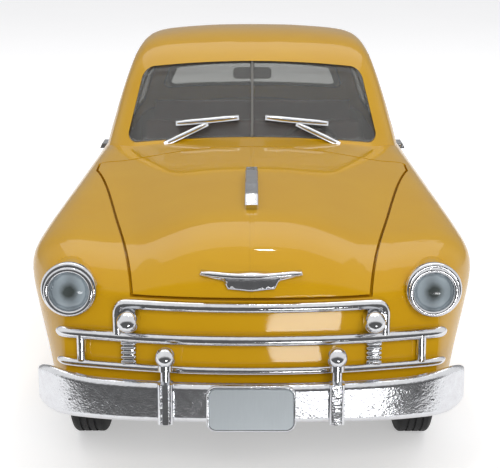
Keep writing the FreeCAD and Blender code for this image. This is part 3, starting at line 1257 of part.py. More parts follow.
def mirror_inside():
    """The rear-view mirror on its stem under the windshield header."""
    width, depth, height = MIRROR_SIZE
    y, z = MIRROR_AT
    glass = rounded(box((-width / 2, width / 2), (y, y + depth), (z - height / 2,
                                                                z + height / 2)),
                    Vector(0, 1, 0), 0.9)
    stem = rod((0, y + depth / 2, z), (0, y + depth / 2 + 1.0, ROOF_HEIGHT), MIRROR_STEM_RADIUS)
    return glass.fuse(stem.common(cabin(WALL)))


BAY_FLOOR = 19.4
BAY_HALF_WIDTH = 20.0
BAY = (17.5, 70.0)          # from the front guards
BLOCK_HALF_WIDTH = 4.6
BLOCK = (27.0, 55.0)
BLOCK_TOP = 33.0


def engine_bay():
    """The engine moulding: tray, block, rocker cover, air cleaner, fan and radiator."""
    y0, y1 = FRONT_Y + BAY[0], FRONT_Y + BAY[1]
    tray = box((-BAY_HALF_WIDTH, BAY_HALF_WIDTH), (y0, y1), (BAY_FLOOR, BAY_FLOOR + 1))
    feet = [box((x - 1.5, x + 1.5), (y - 1.5, y + 1.5), (BASE_TOP, BAY_FLOOR))
            for x in (-BAY_HALF_WIDTH + 4, BAY_HALF_WIDTH - 4) for y in (y0 + 4, y1 - 6)]
    b0, b1 = FRONT_Y + BLOCK[0], FRONT_Y + BLOCK[1]
    block = rounded(box((-BLOCK_HALF_WIDTH, BLOCK_HALF_WIDTH), (b0, b1),
                        (BAY_FLOOR, BLOCK_TOP)), Vector(0, 1, 0), 1.0)
    cover = rounded(box((-BLOCK_HALF_WIDTH + 1.4, BLOCK_HALF_WIDTH - 1.4), (b0 + 2, b1 - 2),
                        (BLOCK_TOP - 1, BLOCK_TOP + 3)), Vector(0, 1, 0), 1.0)
    cleaner = rod((-BLOCK_HALF_WIDTH - 3, b0 + 15, BLOCK_TOP - 4),
                  (-BLOCK_HALF_WIDTH - 3, b0 + 15, BLOCK_TOP + 4.4), 3.6)
    manifold = rod((BLOCK_HALF_WIDTH + 0.6, b0 + 4, BLOCK_TOP - 3),
                   (BLOCK_HALF_WIDTH + 0.6, b1 - 3, BLOCK_TOP - 3), 1.3)
    fan = rod((0, b0 - 2.4, BLOCK_TOP - 6), (0, b0 + 0.5, BLOCK_TOP - 6), 1.2)
    blades = rod((0, b0 - 2.0, BLOCK_TOP - 6), (0, b0 - 1.2, BLOCK_TOP - 6), 5.2)
    radiator = box((-11, 11), (b0 - 6.4, b0 - 4.0), (BAY_FLOOR, BLOCK_TOP))
    return joined([tray, block, cover, cleaner, manifold, fan, blades, radiator] + feet)


# ---------------------------------------------------------------- all the pieces
def pieces():
    """Every piece of the car by name."""
    shell = closed_shell()
    front_bumper = bumper(hull(-SEATED))
    named = {"body_shell": body_shell(shell).fuse(screw_posts()),
             "hood_panel": hood_panel(shell), "hood_hinge_rod": hinge_rod(),
             "hood_badge": badge(), "hood_ornament": ornament(),
             "grille_upper_bar": upper_bar(),
             "grille_middle_bar": grille_bar(MIDDLE_BAR, LONG_BAR_END),
             "grille_lower_bar": lower_grille(),
             "front_bumper": front_bumper, "rear_bumper": rear_bumper(),
             "front_plate": number_plate(), "rear_plate": at_the_rear(number_plate()),
             "base_plate": base_plate(), "base_screws": base_screws(),
             "interior_tub": tub(), "front_seat": seat(FRONT_SEAT),
             "rear_seat": seat(REAR_SEAT), "dashboard": dashboard(),
             "steering_wheel": steering_wheel(), "rear_view_mirror": mirror_inside(),
             "engine_bay": engine_bay(),
             "front_axle": axle(FRONT_TRACK, FRONT_AXLE_Y),
             "rear_axle": axle(REAR_TRACK, REAR_AXLE_Y),
             "axle_gear": axle_gear(), "idler_gear": idler_gear(),
             "idler_shaft": shaft(IDLER_AT, MOTOR_SHAFT_RADIUS),
             "flywheel": flywheel(), "flywheel_shaft": flywheel_shaft(),
             "motor_frame": motor_frame()}
    named.update(panes())
    left = {"parking_lamp": parking_lamp(), "bumper_guard": guard(front_bumper),
            "wiper": wiper(), "door_handle": door_handle()}
    left.update(headlight())
    left.update(tail_lamp())
    for name, track, y in (("front", FRONT_TRACK, FRONT_AXLE_Y),
                           ("rear", REAR_TRACK, REAR_AXLE_Y)):
        left[name + "_wheel"] = wheel(track / 2, y)
        left[name + "_tyre"] = tyre(track / 2, y)
    for name, shape in left.items():
        named[name + "_left"], named[name + "_right"] = both_sides(shape)
    return named


def main():
    os.makedirs("parts", exist_ok=True)
    for name, shape in pieces().items():
        shape.exportStep("parts/%s.step" % name)
        print(name, len(shape.Solids), round(shape.Volume, 1))


main()
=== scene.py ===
# %% [markdown]
# # A friction toy car
# The car is a painted shell with plated trim, clear panes, rubber tyres and a flywheel motor.
# Its construction comes ready made, piece by piece and at its real size. This lesson gives each
# piece the finish of the real one and adds the fine pieces that only matter to the eye.

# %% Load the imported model
import json
import math
import bmesh
import bpy
from mathutils import Matrix, Vector


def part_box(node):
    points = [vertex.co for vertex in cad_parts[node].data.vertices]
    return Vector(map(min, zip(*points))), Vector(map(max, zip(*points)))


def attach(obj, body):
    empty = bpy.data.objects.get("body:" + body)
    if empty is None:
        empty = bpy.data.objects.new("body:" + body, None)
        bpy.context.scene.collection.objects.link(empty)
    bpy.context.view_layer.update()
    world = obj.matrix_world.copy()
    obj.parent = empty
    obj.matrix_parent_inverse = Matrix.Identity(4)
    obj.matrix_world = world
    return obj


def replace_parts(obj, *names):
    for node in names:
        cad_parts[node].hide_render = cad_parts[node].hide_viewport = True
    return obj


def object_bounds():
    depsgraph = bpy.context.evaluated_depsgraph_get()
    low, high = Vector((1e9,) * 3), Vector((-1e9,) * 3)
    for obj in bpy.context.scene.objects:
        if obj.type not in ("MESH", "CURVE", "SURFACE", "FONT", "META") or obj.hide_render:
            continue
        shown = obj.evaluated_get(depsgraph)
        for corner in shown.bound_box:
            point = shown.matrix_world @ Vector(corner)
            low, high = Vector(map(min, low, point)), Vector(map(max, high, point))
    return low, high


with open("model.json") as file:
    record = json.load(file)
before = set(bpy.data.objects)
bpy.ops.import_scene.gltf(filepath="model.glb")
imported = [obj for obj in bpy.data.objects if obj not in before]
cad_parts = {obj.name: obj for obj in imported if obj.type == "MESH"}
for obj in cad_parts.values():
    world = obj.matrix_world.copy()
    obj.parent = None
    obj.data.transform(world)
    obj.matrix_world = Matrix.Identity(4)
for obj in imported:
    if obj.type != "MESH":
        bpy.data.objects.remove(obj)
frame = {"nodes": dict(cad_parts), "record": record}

cad_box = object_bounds()
nodes = frame["nodes"]

# %% [markdown]
# ## The camera
# It stands a little above the car, straight in front of it, and looks slightly down. A long lens
# keeps the nose and the tail in proportion. Its place is measured from the front of the car.

# %% Camera
MM = 0.001
CAMERA_DISTANCE = 212.0 * MM       # in front of the bumper guards
CAMERA_HEIGHT = 97.7 * MM
CAMERA_SIDE = 0.53 * MM
CAMERA_TILT = math.radians(13.59)  # looking down
CAMERA_TURN = 0.0034
LENS = 98.08                       # mm, on a 36 mm sensor

front_y = cad_box[0][1]
camera = bpy.data.objects.new("camera", bpy.data.cameras.new("camera"))
bpy.context.scene.collection.objects.link(camera)
camera.data.sensor_fit = "HORIZONTAL"
camera.data.sensor_width = 36.0
camera.data.lens = LENS
camera.data.clip_start = 0.01
camera.location = (CAMERA_SIDE, front_y - CAMERA_DISTANCE, CAMERA_HEIGHT)
camera.rotation_euler = (math.pi / 2 - CAMERA_TILT, 0, CAMERA_TURN)
bpy.context.scene.camera = camera
print("camera at", tuple(round(v, 4) for v in camera.location))


# %% [markdown]
# ## Tools for finishes
# A finish is a small tree of nodes that ends in the Principled shader. Colours are written as
# the sRGB hex values that a paint chart gives, and one function turns them to the linear numbers
# that the shader works in. Patterns read Object coordinates, so they are in metres on every
# piece: a grain of 0.5 mm needs a noise scale of 1 / 0.0005.

# %% Colour, node and material helpers
def colour(hex_value):
    """Linear colour with alpha from an sRGB hex value."""
    channels = [int(hex_value[i:i + 2], 16) / 255 for i in (1, 3, 5)]
    return tuple(c / 12.92 if c <= 0.04045 else ((c + 0.055) / 1.055) ** 2.4
                 for c in channels) + (1.0,)


def add(tree, kind, inputs=None, to=None, **settings):
    """Add a node: settings are its own, inputs hold values or sockets, to is where it leads."""
    node = tree.nodes.new(kind)
    for name, value in settings.items():
        setattr(node, name, value)
    for name, value in (inputs or {}).items():
        if isinstance(value, bpy.types.NodeSocket):
            tree.links.new(value, node.inputs[name])
        else:
            node.inputs[name].default_value = value
    for output, socket in (to or {}).items():
        tree.links.new(node.outputs[output], socket)
    return node


def finish(name, **shader_values):
    """A new material: its tree, its Principled shader and its Object coordinates."""
    made = bpy.data.materials.new(name)
    made.use_nodes = True
    tree = made.node_tree
    shader = tree.nodes["Principled BSDF"]
    for socket, value in shader_values.items():
        shader.inputs[socket.replace("_", " ")].default_value = value
    place = add(tree, "ShaderNodeTexCoord").outputs["Object"]
    return made, tree, shader, place


def grain(millimetres):
    """Noise scale for a pattern whose grains are this large."""
    return 1.0 / (millimetres * MM)


# %% [markdown]
# ## Gloss enamel
# The shell is sprayed with a thick ochre enamel. Sprayed enamel flows out nearly flat and keeps
# a faint orange peel, and dust and handling leave a little drift in its tone. A smooth coat over
# the colour gives the sharp reflections. The peel's waves are about 2 mm long. The hood has a
# fine raised crease along its middle, which is only a bump here, 0.1 mm high.

# %% Enamel
def gloss_enamel(name, crease=False):
    made, tree, shader, place = finish(name, Roughness=0.45, IOR=1.45, Coat_Weight=0.75,
                                       Specular_IOR_Level=0.08, Coat_Roughness=0.05,
                                       Coat_IOR=1.45)
    drift = add(tree, "ShaderNodeTexNoise", {"Vector": place, "Scale": grain(9.0),
                                             "Detail": 3.0})
    add(tree, "ShaderNodeMix", {"Factor": drift.outputs["Fac"], "A": colour("#CE9A0B"),
                                "B": colour("#D5A412")},
        {"Result": shader.inputs["Base Color"]}, data_type="RGBA")
    peel = add(tree, "ShaderNodeTexNoise", {"Vector": place, "Scale": grain(2.4),
                                            "Detail": 1.0})
    bump = add(tree, "ShaderNodeBump", {"Height": peel.outputs["Fac"], "Strength": 0.16,
                                        "Distance": 0.03 * MM})
    if crease:
        across = add(tree, "ShaderNodeSeparateXYZ", {"Vector": place})
        side = add(tree, "ShaderNodeMath", {0: across.outputs["X"]}, operation="ABSOLUTE")
        ridge = add(tree, "ShaderNodeMapRange", {"Value": side.outputs["Value"],
                                                 "From Max": 0.5 * MM, "To Min": 1.0,
                                                 "To Max": 0.0},
                    interpolation_type="SMOOTHSTEP")
        bump = add(tree, "ShaderNodeBump", {"Height": ridge.outputs["Result"], "Strength": 0.8,
                                            "Distance": 0.1 * MM,
                                            "Normal": bump.outputs["Normal"]})
    tree.links.new(bump.outputs["Normal"], shader.inputs["Normal"])
    tree.links.new(bump.outputs["Normal"], shader.inputs["Coat Normal"])
    return made


# %% [markdown]
# ## Plated trim
# Grille, bumpers and lamp rims are plastic with a vacuum-plated skin. It is as bright as chrome,
# but the moulding under it is a little uneven, so its reflections wobble and break up into
# speckles. The waves are about 1.2 mm long, and the pits, really finer, are drawn 0.35 mm wide.

# %% Plating
def bright_plating(name, low, high, depth, pitting=0.35):
    made, tree, shader, place = finish(name, Metallic=1.0)
    cloud = add(tree, "ShaderNodeTexNoise", {"Vector": place, "Scale": grain(1.3),
                                             "Detail": 5.0, "Roughness": 0.6})
    add(tree, "ShaderNodeMix", {"Factor": cloud.outputs["Fac"], "A": colour("#C9C8CC"),
                                "B": colour("#E4E7EA")},
        {"Result": shader.inputs["Base Color"]}, data_type="RGBA")
    add(tree, "ShaderNodeMapRange", {"Value": cloud.outputs["Fac"], "To Min": low,
                                     "To Max": high},
        {"Result": shader.inputs["Roughness"]})
    waves = add(tree, "ShaderNodeTexNoise", {"Vector": place, "Scale": grain(1.2),
                                             "Detail": 3.0})
    pits = add(tree, "ShaderNodeTexNoise", {"Vector": place, "Scale": grain(0.35),
                                            "Detail": 1.0})
    both = add(tree, "ShaderNodeMath", {0: pits.outputs["Fac"], 1: pitting,
                                        2: waves.outputs["Fac"]}, operation="MULTIPLY_ADD")
    add(tree, "ShaderNodeBump", {"Height": both.outputs["Value"], "Strength": 0.5,
                                 "Distance": depth * MM},
        {"Normal": shader.inputs["Normal"]})
    return made


# %% [markdown]
# The number plates are the same plating, but satin, with a fine upright brushing 0.3 mm apart.

# %% Satin plate
def satin_plate():
    made, tree, shader, place = finish("satin_plating", Metallic=0.85)
    shader.inputs["Base Color"].default_value = colour("#C6CDD1")
    run = add(tree, "ShaderNodeMapping", {"Vector": place, "Scale": (1.0, 1.0, 0.15)})
    lines = add(tree, "ShaderNodeTexNoise", {"Vector": run.outputs["Vector"],
                                             "Scale": grain(0.3), "Detail": 2.0})
    add(tree, "ShaderNodeMapRange", {"Value": lines.outputs["Fac"], "To Min": 0.38,
                                     "To Max": 0.58},
        {"Result": shader.inputs["Roughness"]})
    add(tree, "ShaderNodeBump", {"Height": lines.outputs["Fac"], "Strength": 0.3,
                                 "Distance": 0.03 * MM},
        {"Normal": shader.inputs["Normal"]})
    return made


# %% [markdown]
# ## Clear plastic
# The panes are clear polystyrene, thin and slightly grey, so a soft haze lies over the inside of
# the car. Polystyrene's index is 1.59. The panes are thin walls between air and air, and a lower
# index keeps what lies behind them in its place.

# %% Panes
def clear_pane():
    made, tree, shader, place = finish("clear_polystyrene", IOR=1.3, Transmission_Weight=0.9)
    shader.inputs["Base Color"].default_value = colour("#C9CAC8")
    haze = add(tree, "ShaderNodeTexNoise", {"Vector": place, "Scale": grain(6.0),
                                            "Detail": 3.0})
    add(tree, "ShaderNodeMapRange", {"Value": haze.outputs["Fac"], "To Min": 0.01,
                                     "To Max": 0.05},
        {"Result": shader.inputs["Roughness"]})
    return made


# %% [markdown]
# The headlamps' lenses are pressed with upright flutes about 0.6 mm apart and have a ring near
# the edge.
# Shade is painted into the lens's colour: its middle is painted dark, for the shade of the bowl
# behind it that runs back to the bulb's socket. The rings are measured from the lamps' middle,
# and the same tree serves both sides of the car.

# %% Fluted lens
lens_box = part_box("headlight_lens_left")
LENS_X = (lens_box[0][0] + lens_box[1][0]) / 2
LENS_Z = (lens_box[0][2] + lens_box[1][2]) / 2


def fluted_lens():
    made, tree, shader, place = finish("fluted_polystyrene_painted_shade", Roughness=0.08, IOR=1.5,
                                       Transmission_Weight=0.25)
    parts = add(tree, "ShaderNodeSeparateXYZ", {"Vector": place})
    side = add(tree, "ShaderNodeMath", {0: parts.outputs["X"]}, operation="ABSOLUTE")
    across = add(tree, "ShaderNodeMath", {0: side.outputs["Value"], 1: LENS_X},
                 operation="SUBTRACT")
    up = add(tree, "ShaderNodeMath", {0: parts.outputs["Z"], 1: LENS_Z}, operation="SUBTRACT")
    spot = add(tree, "ShaderNodeCombineXYZ", {"X": across.outputs["Value"],
                                              "Y": up.outputs["Value"]})
    radius = add(tree, "ShaderNodeVectorMath", {0: spot.outputs["Vector"]},
                 operation="LENGTH")
    share = add(tree, "ShaderNodeMapRange", {"Value": radius.outputs["Value"],
                                             "From Max": 3.6 * MM})
    smear = add(tree, "ShaderNodeTexNoise", {"Vector": place, "Scale": grain(1.1),
                                             "Detail": 2.0})
    middle_shade_reach = add(tree, "ShaderNodeMath", {0: smear.outputs["Fac"], 1: 0.16,
                                          2: share.outputs["Result"]},
                 operation="MULTIPLY_ADD")
    # Painted shade: the ramp paints the lens dark in its middle (#59605E), for the bowl's shade,
    # and pale towards the edge with its ring.
    rings = add(tree, "ShaderNodeValToRGB", {"Fac": middle_shade_reach.outputs["Value"]})
    ramp = rings.color_ramp
    ramp.elements[0].position, ramp.elements[0].color = 0.30, colour("#59605E")
    ramp.elements[1].position, ramp.elements[1].color = 0.58, colour("#A9B5BB")
    for at, tone in ((0.82, "#BAC7CE"), (0.90, "#98A5AD"), (0.97, "#C2CFD6")):
        ramp.elements.new(at).color = colour(tone)
    flutes = add(tree, "ShaderNodeTexWave", {"Vector": place, "Scale": grain(0.6) / 20},
                 wave_type="BANDS", bands_direction="X")
    # Painted shade: the flutes darken the lens's colour in bands, down to 0.72 of it.
    flute_shade = add(tree, "ShaderNodeMapRange", {"Value": flutes.outputs["Fac"], "To Min": 0.72})
    add(tree, "ShaderNodeMix", {"Factor": 1.0, "A": rings.outputs["Color"],
                                "B": flute_shade.outputs["Result"]},
        {"Result": shader.inputs["Base Color"]}, data_type="RGBA", blend_type="MULTIPLY")
    add(tree, "ShaderNodeBump", {"Height": flutes.outputs["Fac"], "Strength": 0.8,
                                 "Distance": 0.12 * MM},
        {"Normal": shader.inputs["Normal"]})
    return made


# %% [markdown]
# ## Small lamps, rubber and plastics
# The tail lamps' lenses are red polystyrene. The tyres are matt black rubber that picks up dust.
# The seats are moulded in oxblood plastic with pleats 4 mm apart, the engine in grey, and the
# axles and gears are bare steel and nylon.

# %% Red lens and rubber
def red_lens():
    made, tree, shader, place = finish("red_polystyrene", Roughness=0.08, IOR=1.5,
                                       Transmission_Weight=0.35, Coat_Weight=0.5)
    cloud = add(tree, "ShaderNodeTexNoise", {"Vector": place, "Scale": grain(1.5)})
    add(tree, "ShaderNodeMix", {"Factor": cloud.outputs["Fac"], "A": colour("#8E0B0B"),
                                "B": colour("#A51210")},
        {"Result": shader.inputs["Base Color"]}, data_type="RGBA")
    rings = add(tree, "ShaderNodeTexVoronoi", {"Vector": place, "Scale": grain(0.9)})
    add(tree, "ShaderNodeBump", {"Height": rings.outputs["Distance"], "Strength": 0.4,
                                 "Distance": 0.15 * MM},
        {"Normal": shader.inputs["Normal"]})
    return made


def tyre_rubber(name, axle):
    """Rubber with moulded rings on its sidewalls, 1.2 mm apart round the axle."""
    made, tree, shader, place = finish(name, IOR=1.5, Specular_IOR_Level=0.35)
    dust = add(tree, "ShaderNodeTexNoise", {"Vector": place, "Scale": grain(1.4),
                                            "Detail": 5.0})
    add(tree, "ShaderNodeMix", {"Factor": dust.outputs["Fac"], "A": colour("#161617"),
                                "B": colour("#2B2B2C")},
        {"Result": shader.inputs["Base Color"]}, data_type="RGBA")
    add(tree, "ShaderNodeMapRange", {"Value": dust.outputs["Fac"], "To Min": 0.55,
                                     "To Max": 0.85},
        {"Result": shader.inputs["Roughness"]})
    hub = add(tree, "ShaderNodeMapping", {"Vector": place, "Location": (0, -axle[1], -axle[2])})
    rings = add(tree, "ShaderNodeTexWave", {"Vector": hub.outputs["Vector"],
                                            "Scale": grain(1.2) / 20},
                wave_type="RINGS", rings_direction="X")
    add(tree, "ShaderNodeBump", {"Height": rings.outputs["Fac"], "Strength": 0.5,
                                 "Distance": 0.12 * MM},
        {"Normal": shader.inputs["Normal"]})
    return made


# %% [markdown]
# Moulded plastic keeps the fine grain of its steel mould. A seat's pleats run from the front to
# the back, so they are bands across the car.

# %% Plastics and metals
def moulded(name, first, second, low, high, size, pleats=None):
    made, tree, shader, place = finish(name, IOR=1.46)
    cloud = add(tree, "ShaderNodeTexNoise", {"Vector": place, "Scale": grain(3.0),
                                             "Detail": 4.0})
    add(tree, "ShaderNodeMix", {"Factor": cloud.outputs["Fac"], "A": colour(first),
                                "B": colour(second)},
        {"Result": shader.inputs["Base Color"]}, data_type="RGBA")
    add(tree, "ShaderNodeMapRange", {"Value": cloud.outputs["Fac"], "To Min": low,
                                     "To Max": high},
        {"Result": shader.inputs["Roughness"]})
    cells = add(tree, "ShaderNodeTexVoronoi", {"Vector": place, "Scale": grain(size)})
    bump = add(tree, "ShaderNodeBump", {"Height": cells.outputs["Distance"], "Strength": 0.3,
                                        "Distance": 0.06 * MM},
               {"Normal": shader.inputs["Normal"]})
    if pleats:
        bands = add(tree, "ShaderNodeTexWave", {"Vector": place, "Scale": grain(pleats) / 20},
                    wave_type="BANDS", bands_direction="X")
        add(tree, "ShaderNodeBump", {"Height": bands.outputs["Fac"], "Strength": 0.9,
                                     "Distance": 0.5 * MM},
            {"Normal": bump.inputs["Normal"]})
    return made


def bare_metal(name, hex_value, low, high, stretch):
    """Turned or drawn metal with marks that run round it or along it."""
    made, tree, shader, place = finish(name, Metallic=1.0)
    shader.inputs["Base Color"].default_value = colour(hex_value)
    run = add(tree, "ShaderNodeMapping", {"Vector": place, "Scale": stretch})
    marks = add(tree, "ShaderNodeTexNoise", {"Vector": run.outputs["Vector"],
                                             "Scale": grain(0.4), "Detail": 3.0})
    add(tree, "ShaderNodeMapRange", {"Value": marks.outputs["Fac"], "To Min": low,
                                     "To Max": high},
        {"Result": shader.inputs["Roughness"]})
    add(tree, "ShaderNodeBump", {"Height": marks.outputs["Fac"], "Strength": 0.25,
                                 "Distance": 0.02 * MM},
        {"Normal": shader.inputs["Normal"]})
    return made


# %% [markdown]
# ## Finishes on the pieces
# The record names a slot for each piece. The hood and the tyres get a finish of their own,
# because a crease or a ring lies at one place only.

# %% Give every piece its finish
axles = {name: [v / 2 for v in (Vector(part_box(name)[0]) + Vector(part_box(name)[1]))]
         for name in ("front_axle", "rear_axle")}
enamel = gloss_enamel("gloss_enamel")
plating = bright_plating("bright_plating", 0.05, 0.16, 0.055)
oxblood = moulded("oxblood_polystyrene", "#4B1E19", "#5B2721", 0.35, 0.5, 0.45, pleats=4.0)
rubber = {end: tyre_rubber(end + "_rubber", axles[end + "_axle"]) for end in ("front", "rear")}
seal_rubber = moulded("seal_rubber", "#1B1B1A", "#262624", 0.5, 0.65, 0.4)
finishes = {
    "body_paint": enamel,
    "plated_trim": plating,
    "plate_metal": satin_plate(),
    "clear_pane": clear_pane(),
    "lamp_lens": fluted_lens(),
    "lamp_bowl": bright_plating("plated_bowl", 0.12, 0.25, 0.03),
    "red_lens": red_lens(),
    "tyre_rubber": rubber["front"],
    "base_plastic": moulded("black_polystyrene", "#121212", "#1B1B1C", 0.35, 0.5, 0.5),
    "interior_plastic": moulded("brown_polystyrene", "#3A2420", "#452C26", 0.4, 0.55, 0.45),
    "dash_plastic": moulded("dark_polystyrene", "#2B201C", "#372A24", 0.4, 0.55, 0.45),
    "engine_plastic": moulded("grey_polystyrene", "#4C4E50", "#5A5C5E", 0.4, 0.6, 0.5),
    "steel": bare_metal("drawn_steel", "#B9B8B4", 0.22, 0.38, (0.1, 1.0, 1.0)),
    "flywheel_metal": bare_metal("turned_zinc", "#8D8E90", 0.3, 0.45, (4.0, 1.0, 1.0)),
    "gear_plastic": moulded("natural_nylon", "#DAD5C6", "#E2DDD0", 0.35, 0.5, 0.4),
}
mottled = bright_plating("mottled_plating", 0.12, 0.26, 0.08, pitting=0.8)
own_finish = {"front_bumper": mottled, "rear_bumper": mottled,
              "hood_panel": gloss_enamel("creased_enamel", crease=True),
              "front_seat": oxblood, "rear_seat": oxblood}
for end in ("front", "rear"):
    for side in ("left", "right"):
        own_finish[f"{end}_tyre_{side}"] = rubber[end]
slot_of = {part["node"]: part["material_slot"] for part in frame["record"]["subparts"]}
for name, piece in nodes.items():
    piece.data.materials.clear()
    piece.data.materials.append(own_finish.get(name, finishes[slot_of[name]]))
print("finishes:", len(bpy.data.materials))


# %% [markdown]
# ## Tools for pieces
# A fine piece that follows the paint, such as a window's seal, starts from the face it lies on.
# The outer face of a node is found by growing from face to face as long as the edges between
# them are smooth: a sharp edge ends it.

# %% Piece helpers
SMOOTH = math.radians(30)          # edges sharper than this end a face


def place(build, name, body, material, slot, smooth=True):
    """Write a bmesh to a new piece that rides on a body."""
    mesh = bpy.data.meshes.new(name)
    for face in build.faces:
        face.smooth = smooth
    build.to_mesh(mesh)
    build.free()
    mesh.materials.append(material)
    made = bpy.data.objects.new(name, mesh)
    bpy.context.scene.collection.objects.link(made)
    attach(made, body)
    print(name, len(mesh.polygons), "faces")
    return made


def outer_faces(node, outward, least=20e-6):
    """The parts of a node's surface that face outwards, each ended by sharp edges."""
    build = bmesh.new()
    build.from_mesh(nodes[node].data)
    bmesh.ops.remove_doubles(build, verts=build.verts, dist=1e-6)
    build.normal_update()
    left, keep = set(build.faces), set()
    while left:
        patch, edge_faces = set(), [left.pop()]
        while edge_faces:
            face = edge_faces.pop()
            patch.add(face)
            for edge in face.edges:
                if len(edge.link_faces) == 2 and edge.calc_face_angle(0) < SMOOTH:
                    for other in edge.link_faces:
                        if other in left:
                            left.discard(other)
                            edge_faces.append(other)
        area = sum(face.calc_area() for face in patch)
        lean = sum((face.normal * face.calc_area() for face in patch), Vector()) / area
        if area > least and lean.dot(Vector(outward)) > 0.3:
            keep |= patch
    bmesh.ops.delete(build, geom=list(set(build.faces) - keep), context="FACES")
    return build


def edge_band(build, inward, outward, lift):
    """Keep a band along the edge of some faces: its reach to both sides and its height."""
    rim = [edge for edge in build.edges if edge.is_boundary]
    inside, away = list(build.faces), {}
    for edge in rim:
        face = edge.link_faces[0]
        out = (edge.verts[1].co - edge.verts[0].co).cross(face.normal)
        if out.dot(face.calc_center_median() - edge.verts[0].co) > 0:
            out.negate()
        for vert in edge.verts:
            away[vert] = away.get(vert, Vector()) + out
    rise = {vert: vert.normal.copy() for vert in away}
    made = bmesh.ops.extrude_edge_only(build, edges=rim)["geom"]
    for vert in [part for part in made if isinstance(part, bmesh.types.BMVert)]:
        root = next(edge.other_vert(vert) for edge in vert.link_edges
                    if edge.other_vert(vert) in away)
        vert.co += away[root].normalized() * outward + rise[root] * lift
    for vert, out in away.items():
        vert.co += rise[vert] * lift - out.normalized() * inward
    bmesh.ops.delete(build, geom=inside, context="FACES_ONLY")
    loose = [edge for edge in build.edges if not edge.link_faces]
    bmesh.ops.delete(build, geom=loose, context="EDGES")
    bmesh.ops.delete(build, geom=[vert for vert in build.verts if not vert.link_edges],
                     context="VERTS")
    bmesh.ops.recalc_face_normals(build, faces=build.faces)
    build.normal_update()
    return build


# %% [markdown]
# ## Window seals
# Each pane sits in a black rubber seal. A seal is a narrow band along the edge of the pane, so
# the pane's outer face is taken and inset by the seal's width. Only the band that the inset
# makes is kept, and a Solidify modifier gives it its height.

# %% Seals
SEAL_WIDTH = 0.6 * MM
SEAL_HEIGHT = 0.3 * MM


def thickened(piece, height):
    """Give a sheet its thickness, outwards."""
    wall = piece.modifiers.new("wall", "SOLIDIFY")
    wall.thickness = height
    wall.offset = 1.0


for node, outward in (("windshield_glass", (0, -1, 1)), ("rear_window_glass", (0, 1, 1)),
                      ("side_glass_left", (1, 0, 0)), ("side_glass_right", (-1, 0, 0))):
    build = edge_band(outer_faces(node, outward), SEAL_WIDTH, 0.0, 0.0)
    thickened(place(build, node.replace("glass", "seal"), "car", seal_rubber, "tyre_rubber"),
              SEAL_HEIGHT)

# %% [markdown]
# The windshield has a slim strip down its middle, where the two halves of the real one meet. It
# is cut from the same face by two planes.

# %% Middle strip
STRIP_HALF_WIDTH = 0.26 * MM

strip_grey = moulded("strip_grey", "#6A6864", "#75736E", 0.3, 0.45, 0.5)
build = outer_faces("windshield_glass", (0, -1, 1))
for side in (1, -1):
    bmesh.ops.bisect_plane(build, geom=build.verts[:] + build.edges[:] + build.faces[:],
                           plane_co=(side * STRIP_HALF_WIDTH, 0, 0), plane_no=(side, 0, 0),
                           clear_outer=True)
thickened(place(build, "windshield_strip", "car", strip_grey, "clear_pane"), 0.22 * MM)

# %% [markdown]
# ## The ledge under the hood
# The hood rests on a ledge of the same enamel, so its seam looks like a thin brown line and not
# like a slit. The ledge follows the hood's edge: the hood's outer face is inset a little, the
# band is widened to both sides, and then it is lowered to just under the sheet. It ends before
# the hinges.

# %% Hood ledge
LEDGE_DEPTH = 1.4 * MM
hood_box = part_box("hood_panel")

build = edge_band(outer_faces("hood_panel", (0, -0.3, 1)), 0.3 * MM, 1.1 * MM, -LEDGE_DEPTH)
bmesh.ops.bisect_plane(build, geom=build.verts[:] + build.edges[:] + build.faces[:],
                       plane_co=(0, hood_box[1][1] - 7 * MM, 0), plane_no=(0, 1, 0),
                       clear_outer=True)
place(build, "hood_ledge", "car", enamel, "body_paint")

# %% [markdown]
# ## Bolts, plate frames and the badge's field
# A bolt head is a profile spun round its axis, then turned to the surface it sits on. The
# bumpers' ends carry one each. A frame round each number plate is the plate's face widened by
# half a millimetre, and it lies a little behind it.

# %% Bolts
BOLT_PROFILE = ((0.0, 0.42), (0.34, 0.36), (0.6, 0.14), (0.62, -0.2))    # mm: radius, height


def bolt(name, node, start, direction, body="car"):
    """A domed bolt head on a node's surface, where a ray from outside meets it."""
    hit, spot, normal, face = nodes[node].ray_cast(Vector(start), Vector(direction))
    build = bmesh.new()
    line = [build.verts.new((radius * MM, 0, height * MM)) for radius, height in BOLT_PROFILE]
    edges = [build.edges.new(pair) for pair in zip(line, line[1:])]
    bmesh.ops.spin(build, geom=line + edges, cent=(0, 0, 0), axis=(0, 0, 1),
                   angle=math.tau, steps=20, use_merge=True)
    bmesh.ops.remove_doubles(build, verts=build.verts, dist=1e-6)
    bmesh.ops.recalc_face_normals(build, faces=build.faces)
    turn = normal.to_track_quat("Z", "Y").to_matrix().to_4x4()
    bmesh.ops.transform(build, matrix=Matrix.Translation(spot) @ turn, verts=build.verts)
    return place(build, name, body, plating, "plated_trim")


for end, way in (("front", 1), ("rear", -1)):
    for side, x in (("left", 30.6), ("right", -30.6)):
        bolt(f"{end}_bumper_bolt_{side}", end + "_bumper", (x * MM, -way * 0.3, 16.7 * MM),
             (0, way, 0))

# %% Plate frames and badge field
for end, way in (("front", -1), ("rear", 1)):
    build = edge_band(outer_faces(end + "_plate", (0, way, 0)), 0.0, 0.5 * MM, -0.2 * MM)
    frame_piece = place(build, end + "_plate_frame", "car", plating, "plated_trim")
    wall = frame_piece.modifiers.new("wall", "SOLIDIFY")
    wall.thickness = 0.6 * MM
    wall.offset = -1.0

build = outer_faces("hood_badge", (0, -1, 0), least=5e-6)
bmesh.ops.inset_region(build, faces=build.faces[:], thickness=0.3 * MM, depth=0.35 * MM,
                       use_boundary=True)
place(build, "hood_badge_crown", "hood", plating, "plated_trim")

